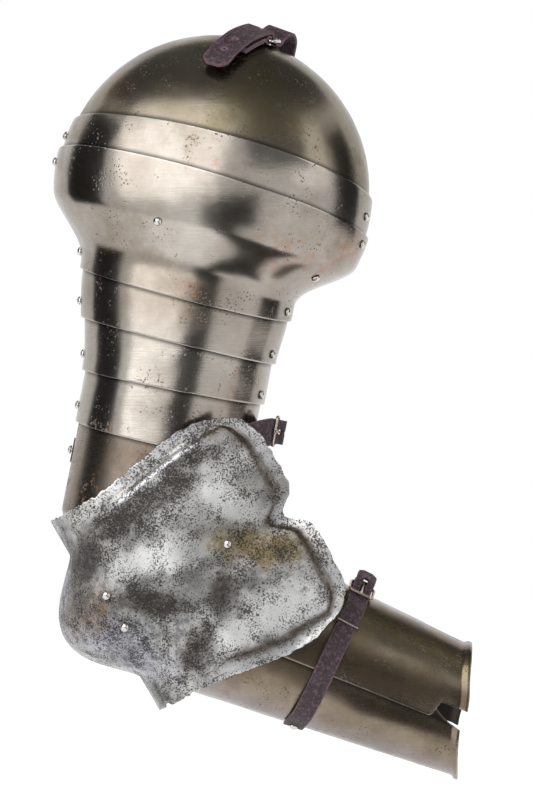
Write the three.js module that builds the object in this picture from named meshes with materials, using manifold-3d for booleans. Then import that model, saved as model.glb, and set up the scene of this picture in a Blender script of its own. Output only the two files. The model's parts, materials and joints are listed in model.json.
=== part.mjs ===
// Plate arm harness: the outer side of a right arm, from the shoulder cap to the wrist.
// Millimetres, +Z up, +X to the wearer's front, -Y to the outside of the arm.
// The origin is where the shoulder strap hangs the harness up.
import * as THREE from "three";
import { mergeVertices } from "three/addons/utils/BufferGeometryUtils.js";
import Module from "manifold-3d";

const wasm = await Module();
wasm.setup();

// Sheet, layers and fits
const plateGauge = 1.2;
const layerGap = 1.3;
const layerStep = plateGauge + layerGap;
const seatGap = 0.3;
const drillOverrun = 12;
const halfTurn = Math.PI;
const rightAngle = Math.PI / 2;
const degree = Math.PI / 180;

// Shoulder ball, centred on the shoulder joint
const ballRadius = 113;
const ballDepth = 84;
const shoulderTilt = 15.2 * degree;
const shoulderWrap = 10 * degree;
const ballPivotRear = 3 * degree;
const ballPivotFront = 14 * degree;
const capPivotRise = 8.7;
const mainPivotDrop = 10.5;
const capEdgeRise = 1;
const capEdgeBow = 22;
const capMiddleTurn = 55 * degree;
const capFootShare = 0.5;
const capSteps = 36;
const capRings = 5;
const shoulderColumns = 24;
const shoulderRows = 2;
const lameTopRise = 20.5;
const lameTopBow = 16;
const lameFootDrop = 18;
const lameFootBow = 10;

// Upper arm: plates nest inside one another down the arm
const armTilt = 11 * degree;
const armWrap = 14 * degree;
const armDepth = 69.5;
const armRearTop = 82.5;
const armRearLow = 72.5;
const armRearTopDrop = 71;
const armRearLowDrop = 141;
const armFrontTop = 70;
const armFrontLow = 67.5;
const armFrontTopDrop = 80;
const armFrontLowDrop = 112;
const bellRearStart = 22;
const bellFrontStart = 36;
const bellEnd = 70;
const bellHoldShare = 0.8;
const mainTopEdge = { drop: 4, lean: 10.6, bow: -12 };
const elbowDrop = 300.6;
const mainFootShare = 0.2518;
const upperLameShare = 0.3613;
const middleLameShare = 0.4697;
const lowerLameShare = 0.5922;
const mainFootEdge = { drop: elbowDrop * mainFootShare, lean: 4.5, bow: 5.5 };
const upperLameEdge = { drop: elbowDrop * upperLameShare, lean: 3.4, bow: 2.9 };
const middleLameEdge = { drop: elbowDrop * middleLameShare, lean: 0, bow: 2.3 };
const lowerLameEdge = { drop: elbowDrop * lowerLameShare, lean: 1, bow: 4.5 };
const mainColumns = 30;
const mainRows = 9;
const armColumns = 20;
const upperLameRows = 4;
const lowerLameRows = 3;
const lameLap = 14;
const pivotRearRise = 11;
const pivotFrontRise = 7;
const pivotRearTurn = 2 * degree;
const pivotFrontTurn = 20 * degree;
const mainRivetDrop = 31.6;
const mainRivetTurn = 72 * degree;
const leatherRivetDrop = 48;
const leatherRivetTurn = 151 * degree;

// Elbow: the couter turns on two rivets a side, one for each cannon
const elbowSetback = 10.8;
const elbowLift = 30 * degree;
const elbowPivotSpread = 25.4;
const tongueReach = 9;
const tongueHalfWidth = 11;
const rearFootShare = 0.8683;
const pinchStartShare = 0.7918;
const frontFootShare = 0.6221;
const medialStartShare = 0.7053;
const medialEndShare = 0.8317;
const cannonRearFoot = elbowDrop * rearFootShare;
const cannonRearPinch = 12;
const cannonPinchStart = elbowDrop * pinchStartShare;
const cannonFrontFoot = elbowDrop * frontFootShare;
const cannonMedialTurn = 104 * degree;
const cannonMedialStart = elbowDrop * medialStartShare;
const cannonMedialEnd = elbowDrop * medialEndShare;

const cannonColumns = 22;
const cannonRows = 6;

const couterColumns = 26;
const couterRows = 14;
const couterHalfHeight = 76.5;
const couterHorn = 9.5;
const couterHornStart = 20;
const couterHornEnd = 100;
const couterReach = 149;
const couterNotch = 15;
const couterNotchShare = 0.11;
const couterCorner = 37;
const couterCornerPower = 9;
const couterDepth = 62.5;
const couterCentre = 25;
const couterRimBack = 10.5;
const copBulge = 32.5;
const copHalfHeight = 49;
const copPower = 1.3;
const copDome = 4;
const couterFlare = 7;
const couterValley = 11;
const couterValleyWidth = 20;
const couterValleyStart = 35;
const borderWidth = 9;
const borderSlope = 5;
const borderStep = 3;
const fieldStartShare = 0.3;
const couterMedialTurn = 96 * degree;
const couterTurnShare = 0.5;
const wingRivetReach = 90;
const wingRivetRise = 1.7;
const searchSteps = 24;
const elbowPlay = 1.5;

// Forearm: two plates, the front one a door hinged on the inner side of the arm
const forearmTilt = 22 * degree;
const forearmPivotDrop = 29.6;
const forearmLength = 242;
const forearmHalfWidth = 63;
const wristHalfWidth = 45.6;
const forearmHalfDepth = 59;
const wristHalfDepth = 41;
const forearmPower = 2.6;
const wristSlant = 16 * degree;
const seamDrop = 8;
const seamLap = 9;
const doorElbowTop = 128;
const doorElbowSeam = 62;
const rearElbowFoot = 40;
const wristGape = 2;
const wristGapeLength = 34;
const notchLength = 19;
const notchRise = 6.5;
const rearColumns = 18;
const rearRows = 7;
const doorColumns = 18;
const doorRows = 7;
const hingeSeamTurn = 262 * degree;
const hingeGapTurn = 2 * degree;
const hingeLength = 22;
const hingeLeafWidth = 11;
const hingeLeafGauge = 1;
const hingeLeafGap = 2.4;
const hingeKnuckleRadius = 2.4;
const hingePinRadius = 1.1;
const hingeFit = 0.2;
const hingeLift = 0.6;
const upperHingePlace = 160;
const lowerHingePlace = 214;

// Rivets
const rivetHeadRadius = 3.1;
const rivetHeadHeight = 2.2;
const rivetShankRadius = 1.5;
const rivetTailRadius = 2.4;
const rivetTailHeight = 0.8;
const rivetFit = 0.25;
const tailSlack = 0.9;
const rivetSeatGap = 0.45;
const rivetSides = 6;
const headWaistShare = 0.75;
const headWaistRiseShare = 0.7;

// Leathers and straps
const leatherThickness = 1.6;
const leatherWidth = 16;
const leatherRamp = 8;
const leatherSlack = 0.5;
const leatherTail = 7;
const leatherSteps = 26;
const strapThickness = 2;
const shoulderStrapWidth = 20;
const armStrapWidth = 17;
const doorStrapWidth = 14;
const chapeThickness = 1.6;
const buckleWire = 2.2;
const buckleFit = 0.3;
const cornerSteps = 3;
const buckleCornerShare = 1.5;
const roundSides = 8;
const frameLength = 13;
const tongueWidth = 2.6;
const tongueGauge = 1.2;
const tipShare = 0.45;
const shoulderBarX = 1;
const shoulderBarY = -11;
const strapSkew = 28 * degree;
const strapFall = 0.25 * degree;
const foldLength = 8;
const tabSteps = 4;
const loopLength = 27;
const loopRise = 5;
const loopDrop = 12;
const loopDipShare = 0.4;
const loopShares = [0.9, 0.63, 0.33];
const slotShare = 0.75;
const slotBack = 1;
const billetReach = 49;
const tipShares = [0.45, 0.75, 1];
const shoulderBilletSteps = 18;
const armStrapBelowFoot = 11;
const armStrapDrop = cannonFrontFoot + armStrapBelowFoot;
const armStrapClimb = 40;
const lameCrossingStart = 2;
const lameCrossingEnd = 7;
const armClimbTurn = 52 * degree;
const armStrapLift = 0.15;
const armStrapSlack = 13;
const armBuckleTurn = 176 * degree;
const armFrameTurn = 11 * degree;
const armSlackTurn = 22 * degree;
const armRootTurn = 116 * degree;
const armRootTail = 6 * degree;
const armRunShares = [0, 0.05, 0.12, 0.2, 0.3, 0.4, 0.5, 0.6, 0.75];
const armTipReach = 9;
const armBilletSteps = 24;
const armSideReach = 50;
const armChapeTurn = -8.5 * degree;
const armChapeTail = 3.5 * degree;
const armChapeSteps = 18;
const armChapeShares = [0.04, 0.12, 0.25, 0.4, 0.55, 0.7, 0.85, 0.95, 1];
const medialSlack = 4;
const doorBuckleTurn = 8 * degree;
const doorBuckleX = 142.5;
const doorFrameTurn = 24 * degree;
const doorFrameLength = 18;
const doorBuckleRise = 1.3;
const doorRootTurn = 160 * degree;
const doorRootX = 134;
const doorRootTail = 6 * degree;
const doorRunSteps = 14;
const runEndShare = 1.6;
const keeperRiseStart = 0.1;
const keeperRiseEnd = 0.45;
const seamRiseStart = 0.12;
const seamRiseEnd = 0.32;
const doorBilletSteps = 26;
const strapLift = 0.5;
const doorTipReach = 13;
const doorTabTurn = 34 * degree;
const doorTabShares = [0.4, 0.75, 1];
const keeperWire = 0.9;
const keeperShare = 0.85;

// Finishes
const steel = new THREE.MeshStandardMaterial({ color: 0x8f887d, metalness: 0.95, roughness: 0.32 });
const pittedSteel = new THREE.MeshStandardMaterial({ color: 0x9b9a94, metalness: 0.85, roughness: 0.5 });
const rivetSteel = new THREE.MeshStandardMaterial({ color: 0xa9a59c, metalness: 0.95, roughness: 0.3 });
const nickel = new THREE.MeshStandardMaterial({ color: 0xc9c6c0, metalness: 1, roughness: 0.2 });
const brass = new THREE.MeshStandardMaterial({ color: 0xa38d66, metalness: 1, roughness: 0.35 });
const purpleLeather = new THREE.MeshStandardMaterial({ color: 0x4d3d42, metalness: 0, roughness: 0.8 });
const tanLeather = new THREE.MeshStandardMaterial({ color: 0x8a5a3a, metalness: 0, roughness: 0.85 });

// Small sums
const mix = THREE.MathUtils.lerp;
const smooth = (value, low, high) => THREE.MathUtils.smoothstep(value, low, high);
const vector = (x, y, z) => new THREE.Vector3(x, y, z);
const signedPower = (value, power) => Math.sign(value) * Math.abs(value) ** power;

function solidOf(geometry) {
  const bare = geometry.clone();
  bare.deleteAttribute("normal");
  bare.deleteAttribute("uv");
  const merged = mergeVertices(bare, 1e-4);
  return new wasm.Manifold(new wasm.Mesh({
    numProp: 3,
    vertProperties: new Float32Array(merged.attributes.position.array),
    triVerts: new Uint32Array(merged.index.array),
  }));
}

function geometryOf(solid) {
  const mesh = solid.getMesh();
  const geometry = new THREE.BufferGeometry();
  geometry.setAttribute("position", new THREE.BufferAttribute(mesh.vertProperties, 3));
  geometry.setIndex(new THREE.BufferAttribute(mesh.triVerts, 1));
  geometry.computeVertexNormals();
  return geometry;
}

function indexed(points, triangles) {
  const geometry = new THREE.BufferGeometry();
  geometry.setFromPoints(points);
  geometry.setIndex(triangles);
  geometry.computeVertexNormals();
  return geometry;
}

// A plate of even gauge: face(u, v) gives its outer side, u from the rear round the outside
// to the front and v from the top down, and the sheet goes inwards from there.
function sheet(face, across, down, gauge) {
  const points = [];
  const nudge = 1e-3;
  for (const inner of [false, true]) {
    for (let row = 0; row <= down; row += 1) {
      for (let column = 0; column <= across; column += 1) {
        const u = column / across;
        const v = row / down;
        const point = face(u, v);
        if (inner) {
          const alongU = face(Math.min(u + nudge, 1), v).sub(face(Math.max(u - nudge, 0), v));
          const alongV = face(u, Math.min(v + nudge, 1)).sub(face(u, Math.max(v - nudge, 0)));
          point.addScaledVector(alongU.cross(alongV).normalize(), gauge);
        }
        points.push(point);
      }
    }
  }
  const width = across + 1;
  const layer = width * (down + 1);
  const triangles = [];
  const quad = (a, b, c, d) => triangles.push(a, b, c, a, c, d);
  for (let row = 0; row < down; row += 1) {
    for (let column = 0; column < across; column += 1) {
      const a = row * width + column;
      const b = a + 1;
      const c = b + width;
      const d = a + width;
      quad(a, d, c, b);
      quad(a + layer, b + layer, c + layer, d + layer);
    }
  }
  for (let column = 0; column < across; column += 1) {
    const a = column;
    const b = down * width + column;
    quad(a, a + 1, a + 1 + layer, a + layer);
    quad(b, b + layer, b + 1 + layer, b + 1);
  }
  for (let row = 0; row < down; row += 1) {
    const a = row * width;
    const b = a + across;
    quad(a, a + layer, a + layer + width, a + width);
    quad(b, b + width, b + width + layer, b + layer);
  }
  return indexed(points, triangles);
}

// The same face run the other way across, where that puts its sheet on the inside
const flipped = (face) => (u, v) => face(1 - u, v);

// A dome from a middle point out to a closed rim: place(rim point, share) walks from one to the other.
function dome(place, around, rings, gauge) {
  const points = [];
  for (const inset of [0, gauge]) {
    points.push(place(0, 0, inset));
    for (let ring = 1; ring <= rings; ring += 1) {
      for (let step = 0; step < around; step += 1) {
        points.push(place(step / around, ring / rings, inset));
      }
    }
  }
  const layer = 1 + rings * around;
  const triangles = [];
  const at = (ring, step) => (ring === 0 ? 0 : 1 + (ring - 1) * around + (step % around));
  for (let ring = 0; ring < rings; ring += 1) {
    for (let step = 0; step < around; step += 1) {
      const a = at(ring, step);
      const b = at(ring + 1, step);
      const c = at(ring + 1, step + 1);
      const d = at(ring, step + 1);
      triangles.push(a, b, c);
      triangles.push(a + layer, c + layer, b + layer);
      if (ring > 0) {
        triangles.push(a, c, d);
        triangles.push(a + layer, d + layer, c + layer);
      }
    }
  }
  for (let step = 0; step < around; step += 1) {
    const a = at(rings, step);
    const b = at(rings, step + 1);
    triangles.push(a, a + layer, b + layer);
    triangles.push(a, b + layer, b);
  }
  return indexed(points, triangles);
}

// A strip of leather along places(t), each a point with the directions of its width and its face.
function strip(places, steps, width, thickness) {
  const points = [];
  for (let step = 0; step <= steps; step += 1) {
    const place = places(step / steps);
    const side = place.side.clone().multiplyScalar((place.width ?? width) / 2);
    const rise = place.out.clone().multiplyScalar(thickness / 2);
    points.push(place.at.clone().sub(side).sub(rise));
    points.push(place.at.clone().add(side).sub(rise));
    points.push(place.at.clone().add(side).add(rise));
    points.push(place.at.clone().sub(side).add(rise));
  }
  const triangles = [];
  for (let step = 0; step < steps; step += 1) {
    for (let corner = 0; corner < 4; corner += 1) {
      const a = step * 4 + corner;
      const b = step * 4 + ((corner + 1) % 4);
      triangles.push(a, b, b + 4, a, b + 4, a + 4);
    }
  }
  const last = steps * 4;
  triangles.push(0, 2, 1, 0, 3, 2);
  triangles.push(last, last + 1, last + 2, last, last + 2, last + 3);
  const geometry = indexed(points, triangles);
  return solidOf(geometry).volume() < 0 ? turnedOut(geometry) : geometry;
}

function turnedOut(geometry) {
  const index = geometry.index.array;
  for (let corner = 0; corner < index.length; corner += 3) {
    const first = index[corner];
    index[corner] = index[corner + 1];
    index[corner + 1] = first;
  }
  geometry.computeVertexNormals();
  return geometry;
}

// A rivet along +Z: the head stands above zero, the shank goes down through the stack to its tail.
function rivetGeometry(stack) {
  const foot = -stack;
  const outline = [
    [0, foot - rivetTailHeight], [rivetTailRadius, foot],
    [rivetShankRadius, foot], [rivetShankRadius, 0], [rivetHeadRadius, 0],
    [rivetHeadRadius * headWaistShare, rivetHeadHeight * headWaistRiseShare], [0, rivetHeadHeight],
  ].map(([radius, height]) => new THREE.Vector2(radius, height));
  const geometry = geometryOf(upright(new THREE.LatheGeometry(outline, rivetSides)));
  return geometry;
}

// A turned form keeps its axis along +Z, with its faces out.
function upright(lathe) {
  lathe.rotateX(rightAngle);
  const solid = solidOf(lathe);
  return solid.volume() < 0 ? solidOf(turnedOut(mergedBare(lathe))) : solid;
}

function mergedBare(geometry) {
  const bare = geometry.clone();
  bare.deleteAttribute("normal");
  bare.deleteAttribute("uv");
  return mergeVertices(bare, 1e-4);
}

function mesh(name, geometry, material) {
  const made = new THREE.Mesh(geometry, material);
  made.name = name;
  return made;
}

// Turns and moves a geometry so that its +Z points along out and its origin lies at place.
function aimed(geometry, place, out) {
  const turn = new THREE.Quaternion().setFromUnitVectors(vector(0, 0, 1), out.clone().normalize());
  return geometry.clone().applyQuaternion(turn).translate(place.x, place.y, place.z);
}

// Drills a hole for each rivet spot, straight along its direction.
function drilled(geometry, spots) {
  let solid = solidOf(geometry);
  for (const spot of spots) {
    const bit = new THREE.CylinderGeometry(
      rivetShankRadius + rivetFit, rivetShankRadius + rivetFit, 2 * drillOverrun, rivetSides);
    bit.rotateX(rightAngle);
    solid = solid.subtract(solidOf(aimed(bit, spot.place, spot.out)));
  }
  return geometryOf(solid);
}

// Drills a piece that is already in its group.
function drillInto(group, name, spots) {
  const piece = group.children.find((child) => child.name === name);
  piece.geometry = drilled(piece.geometry, spots);
}

// A rivet whose head seats on the plate at the spot.
function rivet(name, spot, stack) {
  const lift = rivetSeatGap + rivetHeadRadius * (spot.slope ?? 0);
  const seat = spot.place.clone().addScaledVector(spot.out, lift);
  const length = stack + seatGap + lift + tailSlack;
  return mesh(name, aimed(rivetGeometry(length), seat, spot.out), rivetSteel);
}

const raised = (spot, lift) => ({ ...spot, place: spot.place.clone().addScaledVector(spot.out, lift) });
const twoPlates = 2 * plateGauge + layerGap;
const platesAndLeather = twoPlates + seatGap + leatherThickness;

// The direction out of a plate whose face(u, v) runs from the rear round the outside and down.
function spotOn(face, u, v) {
  const nudge = 1e-3;
  const alongU = face(u + nudge, v).sub(face(u - nudge, v));
  const alongV = face(u, v + nudge).sub(face(u, v - nudge));
  return { place: face(u, v), out: alongV.cross(alongU).normalize() };
}

// Shoulder ball: a flattened sphere, one shell inside the other
function ballPoint(turn, height, inset) {
  const radius = ballRadius - inset;
  const share = Math.sqrt(Math.max(0, 1 - (height / radius) ** 2));
  return vector(
    -radius * share * Math.cos(turn), -(ballDepth - inset) * share * Math.sin(turn), height);
}

function edgeHeight(edge, turn) {
  return -edge.drop + edge.lean * Math.cos(turn) - edge.bow * Math.sin(turn);
}

// Upper arm: a rounded gutter, a little wider to the rear at the top
function armPoint(turn, height, inset) {
  const drop = -height;
  const rear = mix(armRearTop, armRearLow, smooth(drop, armRearTopDrop, armRearLowDrop));
  const front = mix(armFrontTop, armFrontLow, smooth(drop, armFrontTopDrop, armFrontLowDrop));
  const reach = (Math.cos(turn) > 0 ? rear : front) - inset;
  return vector(-reach * Math.cos(turn), -(armDepth - inset) * Math.sin(turn), height);
}

// The main plate flows from the ball into the arm through a bell.
function mainPoint(turn, height, inset) {
  const start = mix(bellFrontStart, bellRearStart, (1 + Math.cos(turn)) / 2);
  const share = smooth(-height, start, bellEnd);
  const ball = ballPoint(turn, Math.max(height, -ballRadius * bellHoldShare), inset);
  const arm = armPoint(turn, height, inset);
  return vector(mix(ball.x, arm.x, share), mix(ball.y, arm.y, share), height);
}

const plateTurn = (u, wrap) => mix(-wrap, halfTurn + wrap, u);
const turnShare = (turn, wrap) => (turn + wrap) / (halfTurn + 2 * wrap);

const shoulder = new THREE.Group();
shoulder.rotation.y = shoulderTilt;
const arm = new THREE.Group();
arm.rotation.y = armTilt;

function lameFace(u, v) {
  const turn = plateTurn(u, shoulderWrap);
  const top = lameTopRise + lameTopBow * Math.sin(turn);
  const foot = -lameFootDrop + lameFootBow * Math.sin(turn);
  return ballPoint(turn, mix(top, foot, v), layerStep);
}

function ballSpot(turn, height, inset) {
  const face = (u, v) => ballPoint(plateTurn(u, shoulderWrap), height - v, inset);
  return spotOn(face, turnShare(turn, shoulderWrap), 0);
}

function capPlace(around, share, inset) {
  const radius = ballRadius - 2 * layerStep;
  const depth = ballDepth - 2 * layerStep;
  const middle = vector(0, -Math.cos(capMiddleTurn), Math.sin(capMiddleTurn));
  const rim = capRim(around, radius);
  const angle = middle.angleTo(rim);
  const unit = middle.clone().multiplyScalar(Math.sin(angle * (1 - share)))
    .addScaledVector(rim, Math.sin(angle * share)).normalize();
  const place = vector(unit.x * radius, unit.y * depth, unit.z * radius);
  const out = vector(unit.x / radius, unit.y / depth, unit.z / radius).normalize();
  return place.addScaledVector(out, -inset);
}

// The cap's rim as directions: along its foot from rear to front, then back over the top.
function capRim(around, radius) {
  const footDirection = (turn) => {
    const rise = (capEdgeRise + capEdgeBow * Math.max(0, Math.sin(turn))) / radius;
    const level = Math.sqrt(1 - rise ** 2);
    return vector(-level * Math.cos(turn), -level * Math.sin(turn), rise);
  };
  if (around < capFootShare) {
    return footDirection(plateTurn(around / capFootShare, shoulderWrap));
  }
  const start = footDirection(plateTurn(1, shoulderWrap));
  const level = Math.hypot(start.x, start.z);
  const from = Math.atan2(start.z, start.x);
  const bearing = mix(from, halfTurn - from, (around - capFootShare) / (1 - capFootShare));
  return vector(level * Math.cos(bearing), start.y, level * Math.sin(bearing));
}

// Pivots of the shoulder, the rear one on the silhouette and the front one a little outboard
const capPivots = [ballPivotRear, halfTurn - ballPivotFront]
  .map((turn) => ballSpot(turn, capPivotRise, layerStep));
const mainPivots = [ballPivotRear, halfTurn - ballPivotFront]
  .map((turn) => ballSpot(turn, -mainPivotDrop, 0));

const capGeometry = dome(capPlace, capSteps, capRings, plateGauge);
shoulder.add(mesh("shoulder_cap", drilled(capGeometry, capPivots), steel));
const lameGeometry = sheet(lameFace, shoulderColumns, shoulderRows, plateGauge);
shoulder.add(mesh("shoulder_lame", drilled(lameGeometry, [...capPivots, ...mainPivots]), steel));
["rear", "front"].forEach((side, index) => {
  shoulder.add(rivet(`cap_pivot_${side}`, capPivots[index], twoPlates));
  shoulder.add(rivet(`shoulder_pivot_${side}`, mainPivots[index], twoPlates));
});

// Main shoulder plate and the lames below it, each inside the one above
const footEdges = [mainFootEdge, upperLameEdge, middleLameEdge, lowerLameEdge];

function mainFace(u, v) {
  const turn = plateTurn(u, mix(shoulderWrap, armWrap, v));
  const height = mix(edgeHeight(mainTopEdge, turn), edgeHeight(mainFootEdge, turn), v);
  return mainPoint(turn, height, 0);
}

// The pivot pair where plate number index carries the next one down
function armPivotPair(index) {
  return [
    { turn: pivotRearTurn, rise: pivotRearRise },
    { turn: halfTurn - pivotFrontTurn, rise: pivotFrontRise },
  ].map(({ turn, rise }) => {
    const height = edgeHeight(footEdges[index], turn) + rise;
    const face = (u, v) => mainPoint(plateTurn(u, armWrap), height - v, index * layerStep);
    return spotOn(face, turnShare(turn, armWrap), 0);
  });
}

const armPivots = footEdges.map((edge, index) => armPivotPair(index));

const toArm = (spot) => {
  const turn = new THREE.Quaternion().setFromAxisAngle(vector(0, 1, 0), shoulderTilt - armTilt);
  return { place: spot.place.clone().applyQuaternion(turn), out: spot.out.clone().applyQuaternion(turn) };
};

const mainSpot = spotOn((u, v) => mainPoint(plateTurn(u, armWrap), -mainRivetDrop - v, 0),
  turnShare(mainRivetTurn, armWrap), 0);
const frontLeatherSpot = spotOn((u, v) => mainPoint(plateTurn(u, armWrap), -leatherRivetDrop - v, 0),
  turnShare(leatherRivetTurn, armWrap), 0);

const mainHoles = [...mainPivots.map(toArm), ...armPivots[0], mainSpot, frontLeatherSpot];
const mainGeometry = sheet(mainFace, mainColumns, mainRows, plateGauge);
arm.add(mesh("main_shoulder_plate", drilled(mainGeometry, mainHoles), steel));
arm.add(rivet("main_centre_rivet", mainSpot, plateGauge));
arm.add(rivet("front_leather_rivet", frontLeatherSpot, plateGauge + seatGap + leatherThickness));

["arm_lame_upper", "arm_lame_middle", "arm_lame_lower"].forEach((name, index) => {
  const level = index + 1;
  const face = (u, v) => {
    const turn = plateTurn(u, armWrap);
    const top = edgeHeight(footEdges[index], turn) + lameLap;
    return mainPoint(turn, mix(top, edgeHeight(footEdges[level], turn), v), level * layerStep);
  };
  const holes = [...armPivots[index], ...armPivots[level]];
  const rows = level === 1 ? upperLameRows : lowerLameRows;
  arm.add(mesh(name, drilled(sheet(face, armColumns, rows, plateGauge), holes), steel));
});
["main", "upper", "middle", "lower"].forEach((name, index) => {
  arm.add(rivet(`${name}_pivot_rear`, armPivots[index][0], platesAndLeather));
  arm.add(rivet(`${name}_pivot_front`, armPivots[index][1], platesAndLeather));
});

// Elbow frame: +X runs forward along the couter's crease, +Z up across it
const elbow = new THREE.Group();
elbow.position.set(-elbowSetback, 0, -elbowDrop);
elbow.rotation.y = -(elbowLift + armTilt);
arm.add(elbow);

// Upper cannon: a gutter that closes round the inner side towards the elbow
const upperPivot = vector(
  -elbowSetback - (elbowPivotSpread / 2) * Math.sin(elbowLift + armTilt), 0,
  -elbowDrop + (elbowPivotSpread / 2) * Math.cos(elbowLift + armTilt));

function cannonPoint(turn, height) {
  const inset = 4 * layerStep;
  const point = armPoint(turn, height, inset);
  const pinch = cannonRearPinch * smooth(-height, cannonPinchStart, cannonRearFoot);
  if (point.x < 0) point.x *= 1 - pinch / (armRearLow - inset);
  return point;
}

function cannonFootHeight(turn) {
  const x = cannonPoint(turn, -cannonRearFoot).x;
  const tongue = Math.exp(-(((x - upperPivot.x) / tongueHalfWidth) ** 2));
  const edge = x < upperPivot.x
    ? -cannonRearFoot
    : mix(-cannonRearFoot, -cannonFrontFoot, smooth(x, upperPivot.x, armFrontLow - 4 * layerStep));
  return mix(edge, upperPivot.z - tongueReach, tongue);
}

function cannonFace(u, v) {
  const low = cannonMedialTurn;
  const turnAt = (height) => {
    const wrap = mix(armWrap, low, smooth(-height, cannonMedialStart, cannonMedialEnd));
    return mix(-wrap, halfTurn + armWrap, u);
  };
  const plain = mix(-armWrap, halfTurn + armWrap, u);
  const top = edgeHeight(lowerLameEdge, plain) + lameLap;
  const foot = cannonFootHeight(mix(-low, halfTurn + armWrap, u));
  const height = mix(top, foot, v);
  return cannonPoint(turnAt(height), height);
}

// Couter: a cop round the point of the elbow that opens forward into a two-lobed wing.
// across runs from the inner edge round the back and out to the front, along from top to foot.
function couterBack(z) {
  const share = Math.max(0, 1 - (z / copHalfHeight) ** 2);
  return couterRimBack + copBulge * share ** copPower;
}

function couterFront(along) {
  return couterReach - couterCorner * Math.abs(along) ** couterCornerPower
    - couterNotch * Math.exp(-((along / couterNotchShare) ** 2));
}

function couterHeight(x) {
  return couterHalfHeight + couterHorn * smooth(x, couterHornStart, couterHornEnd);
}

function couterPoint(u, v, inset) {
  const along = 1 - 2 * v;
  const backZ = along * couterHalfHeight;
  const reach = couterCentre + couterBack(backZ);
  const depth = couterDepth + copDome * (1 - along ** 2) - inset;
  if (u < couterTurnShare) {
    const turn = mix(-couterMedialTurn, rightAngle, u / couterTurnShare);
    const x = couterCentre - (reach - inset) * Math.cos(turn);
    return vector(x, -depth * Math.sin(turn), along * couterHeight(x));
  }
  const share = (u - couterTurnShare) / (1 - couterTurnShare);
  const front = couterFront(along);
  const x = mix(couterCentre, front, share);
  const z = along * couterHeight(x);
  const valley = couterValley * Math.exp(-((z / couterValleyWidth) ** 2))
    * smooth(x, couterValleyStart, couterReach);
  const flare = couterFlare * share ** 2;
  const edge = Math.min(front - x, couterHeight(x) - Math.abs(z));
  const field = borderStep * smooth(edge, borderWidth, borderWidth + borderSlope) * smooth(share, 0, fieldStartShare);
  return vector(x, -(depth + flare + field - valley), z);
}

const couterFace = (u, v) => couterPoint(u, v, 0);

function couterSpot(x, z) {
  let low = couterTurnShare / 2;
  let high = 1;
  let v = 0.5;
  for (let step = 0; step < searchSteps; step += 1) {
    const u = (low + high) / 2;
    const point = couterFace(u, v);
    if (point.x < x) low = u;
    else high = u;
    v = (1 - z / couterHeight(point.x)) / 2;
  }
  return spotOn(couterFace, (low + high) / 2, v);
}

// The rivets of the elbow stand square to the hinge axis, so they keep to it.
function levelled(spot) {
  const out = vector(0, Math.sign(spot.place.y), 0);
  return { place: spot.place, out, slope: Math.tan(spot.out.angleTo(out)) };
}
const upperOuter = levelled(couterSpot(0, elbowPivotSpread / 2));
const lowerOuter = levelled(couterSpot(0, -elbowPivotSpread / 2));
const mirrored = (spot) => ({
  place: vector(spot.place.x, -spot.place.y, spot.place.z), out: spot.out.clone().negate(),
  slope: spot.slope });
const elbowRivetSpots = [upperOuter, mirrored(upperOuter), lowerOuter, mirrored(lowerOuter)];
const wingSpot = couterSpot(wingRivetReach, wingRivetRise);
const couterGeometry = sheet(couterFace, couterColumns, couterRows, plateGauge);
elbow.add(mesh("couter", drilled(couterGeometry, [...elbowRivetSpots, wingSpot]), pittedSteel));
elbow.add(rivet("couter_wing_rivet", wingSpot, plateGauge));

const elbowNames = ["upper_elbow_rivet_outer", "upper_elbow_rivet_inner",
  "lower_elbow_rivet_outer", "lower_elbow_rivet_inner"];
const cannonDepthAtPivot = (armDepth - 4 * layerStep)
  * Math.sin(Math.acos(-upperPivot.x / (armRearLow - 4 * layerStep - cannonRearPinch)));
function forearmDepthAt(x, z, inset) {
  const share = x / forearmLength;
  const half = mix(forearmHalfWidth, wristHalfWidth, share) - inset;
  const depth = mix(forearmHalfDepth, wristHalfDepth, share) - inset;
  return depth * (1 - (Math.abs(z) / half) ** forearmPower) ** (1 / forearmPower);
}
const forearmDepthAtPivot = forearmDepthAt(0, forearmPivotDrop, layerStep);
elbowNames.forEach((name, index) => {
  const spot = elbowRivetSpots[index];
  const inner = index < 2 ? cannonDepthAtPivot : forearmDepthAtPivot;
  const stack = Math.abs(spot.place.y) - inner + plateGauge + elbowPlay;
  elbow.add(rivet(name, spot, stack));
});

// The cannon takes its holes from the couter's upper pair.
elbow.updateMatrix();
const inArm = (spot) => ({
  place: spot.place.clone().applyMatrix4(elbow.matrix),
  out: spot.out.clone().transformDirection(elbow.matrix),
});
const cannonHoles = [...armPivots[3], ...elbowRivetSpots.slice(0, 2).map(inArm)];
const cannonGeometry = sheet(cannonFace, cannonColumns, cannonRows, plateGauge);
arm.add(mesh("upper_cannon", drilled(cannonGeometry, cannonHoles), steel));

// Forearm frame: +X down the forearm to the wrist, +Z to its front edge
const forearm = new THREE.Group();
forearm.rotation.y = elbowLift + forearmTilt;
forearm.position.set(
  forearmPivotDrop * Math.sin(elbowLift + forearmTilt), 0,
  -elbowPivotSpread / 2 + forearmPivotDrop * Math.cos(elbowLift + forearmTilt));
elbow.add(forearm);

// turn is nothing at the front edge, a quarter at the outer side, a half at the back
function forearmPoint(turn, x, inset) {
  const share = x / forearmLength;
  const half = mix(forearmHalfWidth, wristHalfWidth, share) - inset;
  const depth = mix(forearmHalfDepth, wristHalfDepth, share) - inset;
  const power = 2 / forearmPower;
  return vector(x,
    -depth * signedPower(Math.sin(turn), power), half * signedPower(Math.cos(turn), power));
}

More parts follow.
